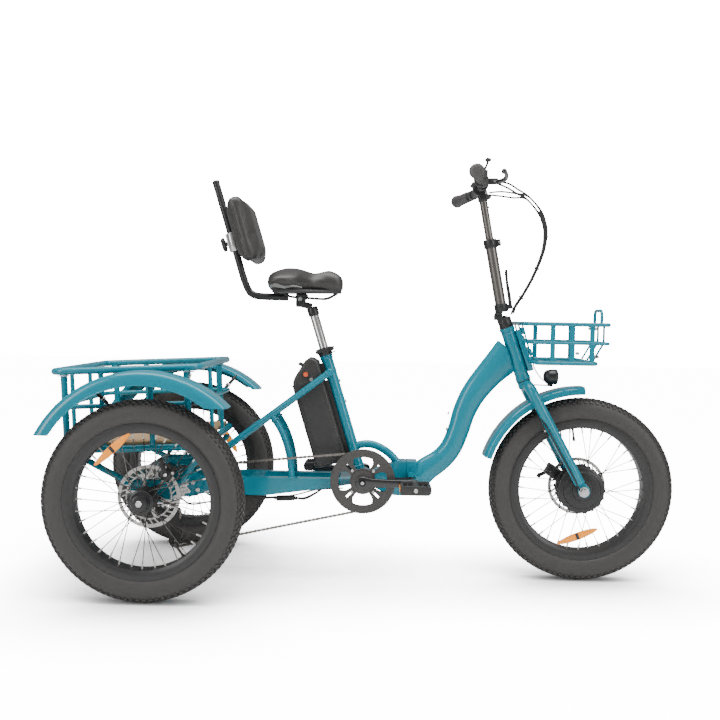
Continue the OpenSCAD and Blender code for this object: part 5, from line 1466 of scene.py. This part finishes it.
shape = bmesh.new()
rim = []
for i in range(72):
    a = 2 * pi * i / 72
    far = Vector((415 + 170 * cos(a), 170 * sin(a), 864))
    spot = on_skin(skin, far, Vector((415 + 40 * cos(a), 0, far.z)) - far, 0.2)
    if spot:
        rim.append(spot)
tube(shape, rim, 1.9, 8, loop=True)
finished("saddle_welt", shape, vinyl, "seat")
shape = bmesh.new()
for side in (-1, 1):
    rails = []
    for i in range(33):
        share = i / 32
        x = 306 + 92 * share
        z = 873 + 2.2 * sin(share * pi * 3.4 - 0.5)
        half = 4.6 * (1 - share) * sin(pi * min(1, share * 0.9 + 0.1)) ** 0.5 + 1.1
        low, high = (on_skin(skin, (x, side * 170, z + s * half), (0, -side, 0), 0.7) for s in (-1, 1))
        if low and high:
            rails.append((low, high))
    rows = [(shape.verts.new(a), shape.verts.new(b)) for a, b in rails]
    for (a, b), (c, d) in zip(rows, rows[1:]):
        shape.faces.new((a, b, d, c))
bmesh.ops.recalc_face_normals(shape, faces=shape.faces)
bmesh.ops.solidify(shape, geom=shape.faces[:], thickness=1.2)
silver = surface("inlay_silver", (0.45, 0.44, 0.43), (0.33, 0.32, 0.32), (50, 0.5), (900, 0.15), (0.26, 0.36),
                 Metallic=0.7)
finished("saddle_inlays", shape, silver, "seat")
shape = bmesh.new()
base = [(306, 40), (316, 74), (336, 92), (362, 92), (392, 70), (430, 46), (480, 26), (508, 16), (514, 0)]
plate(shape, base + [(x, -y) for x, y in reversed(base[:-1])], 855, 866, bevel=4, segments=3)
finished("saddle_tray", shape, plastic, "seat")


# ---- Backrest ----
# A bent steel post bolted under the saddle, painted black, with a padded vinyl rest that slides on it
# and is locked by a star knob through a pressed bracket.
back_line = Matrix.Translation((174.5, 0, 1032)) @ at(ry=-17.01)
post_foot, post_tip = Vector((221, 0, 880)), Vector((128, 0, 1184))
shape = bmesh.new()
tube(shape, rounded([(352, 0, 842.5), (300, 0, 842.5), (240, 0, 845), tuple(post_foot), tuple(post_tip)], 34, 8), 11, 32)
turned(shape, [(0, 0), (11.3, 0), (11.3, 3), (9, 6.4), (5, 8), (0, 8.4)], along(post_tip, post_tip * 2 - post_foot)[0], 32)
turned(shape, [(0, -26), (4.4, -26), (5, -25.4), (5, 25.4), (4.4, 26), (0, 26)], at(342, 0, 842.5, rx=90), 20)
block(shape, (44, 30, 6), at(330, 0, 853.6), 2, 2)
finished("backrest_post", shape, satin_black, "seat", ["backrest_frame"])
shape = bmesh.new()
turned(shape, [(11.4, -55), (15.4, -55), (16, -54), (16, 0), (15.4, 1), (11.4, 1)], back_line, 36, close=True)
block(shape, (10, 26, 56), back_line @ at(-12, 0, -27) , 2, 2)
finished("pad_clamp_pressed", shape, steel, "back_pad", ["pad_bracket"])
shape = bmesh.new()
block(shape, (13, 32, 58), back_line @ at(9.5, 0, -27), 2, 2)
block(shape, (8, 120, 66), back_line @ at(19.5, 0, -27), 2, 2)
finished("pad_bracket_plate", shape, satin_black, "back_pad")
shape = bmesh.new()
knob_line = back_line @ at(-16.3, 0, -27, ry=-90)
turned(shape, [(0, 0), (6.6, 0), (7, 6), (14, 6.6), (18, 8.4), (18, 16), (16.4, 18.6), (0, 19.4)], knob_line, 48)
for a in range(0, 360, 60):
    turned(shape, [(0, 7), (3.6, 7), (4.6, 8.4), (4.6, 16), (3.6, 18), (0, 18.6)], knob_line @ at(rz=a) @ at(17, 0, 0), 16)
finished("pad_star_knob", shape, plastic, "knob", ["pad_knob"])

shape = bmesh.new()
block(shape, (46, 236, 198), back_line @ at(49, 0, -8), 21, 6)
shape = puffed(shape, 5, 4, 12)
pad_skin = BVHTree.FromBMesh(shape)
piece = finished("backrest_cushion", shape, vinyl, "back_pad", ["backrest_pad"], crease=80)
piece.modifiers.new("smooth", "SUBSURF").levels = 1
piece.modifiers["smooth"].render_levels = 1
for name, depth, r in (("front", 62, 1.5), ("rear", 38, 1.5)):
    shape, rim = bmesh.new(), []
    for i in range(96):
        a = 2 * pi * i / 96
        far = back_line @ Vector((depth, 220 * cos(a), 180 * sin(a) - 8))
        core = back_line @ Vector((depth, 0, -8))
        spot = on_skin(pad_skin, far, core - far, 0.1)
        if spot:
            rim.append(spot)
    tube(shape, rim, r, 8, loop=True)
    finished("cushion_welt_" + name, shape, vinyl, "back_pad")
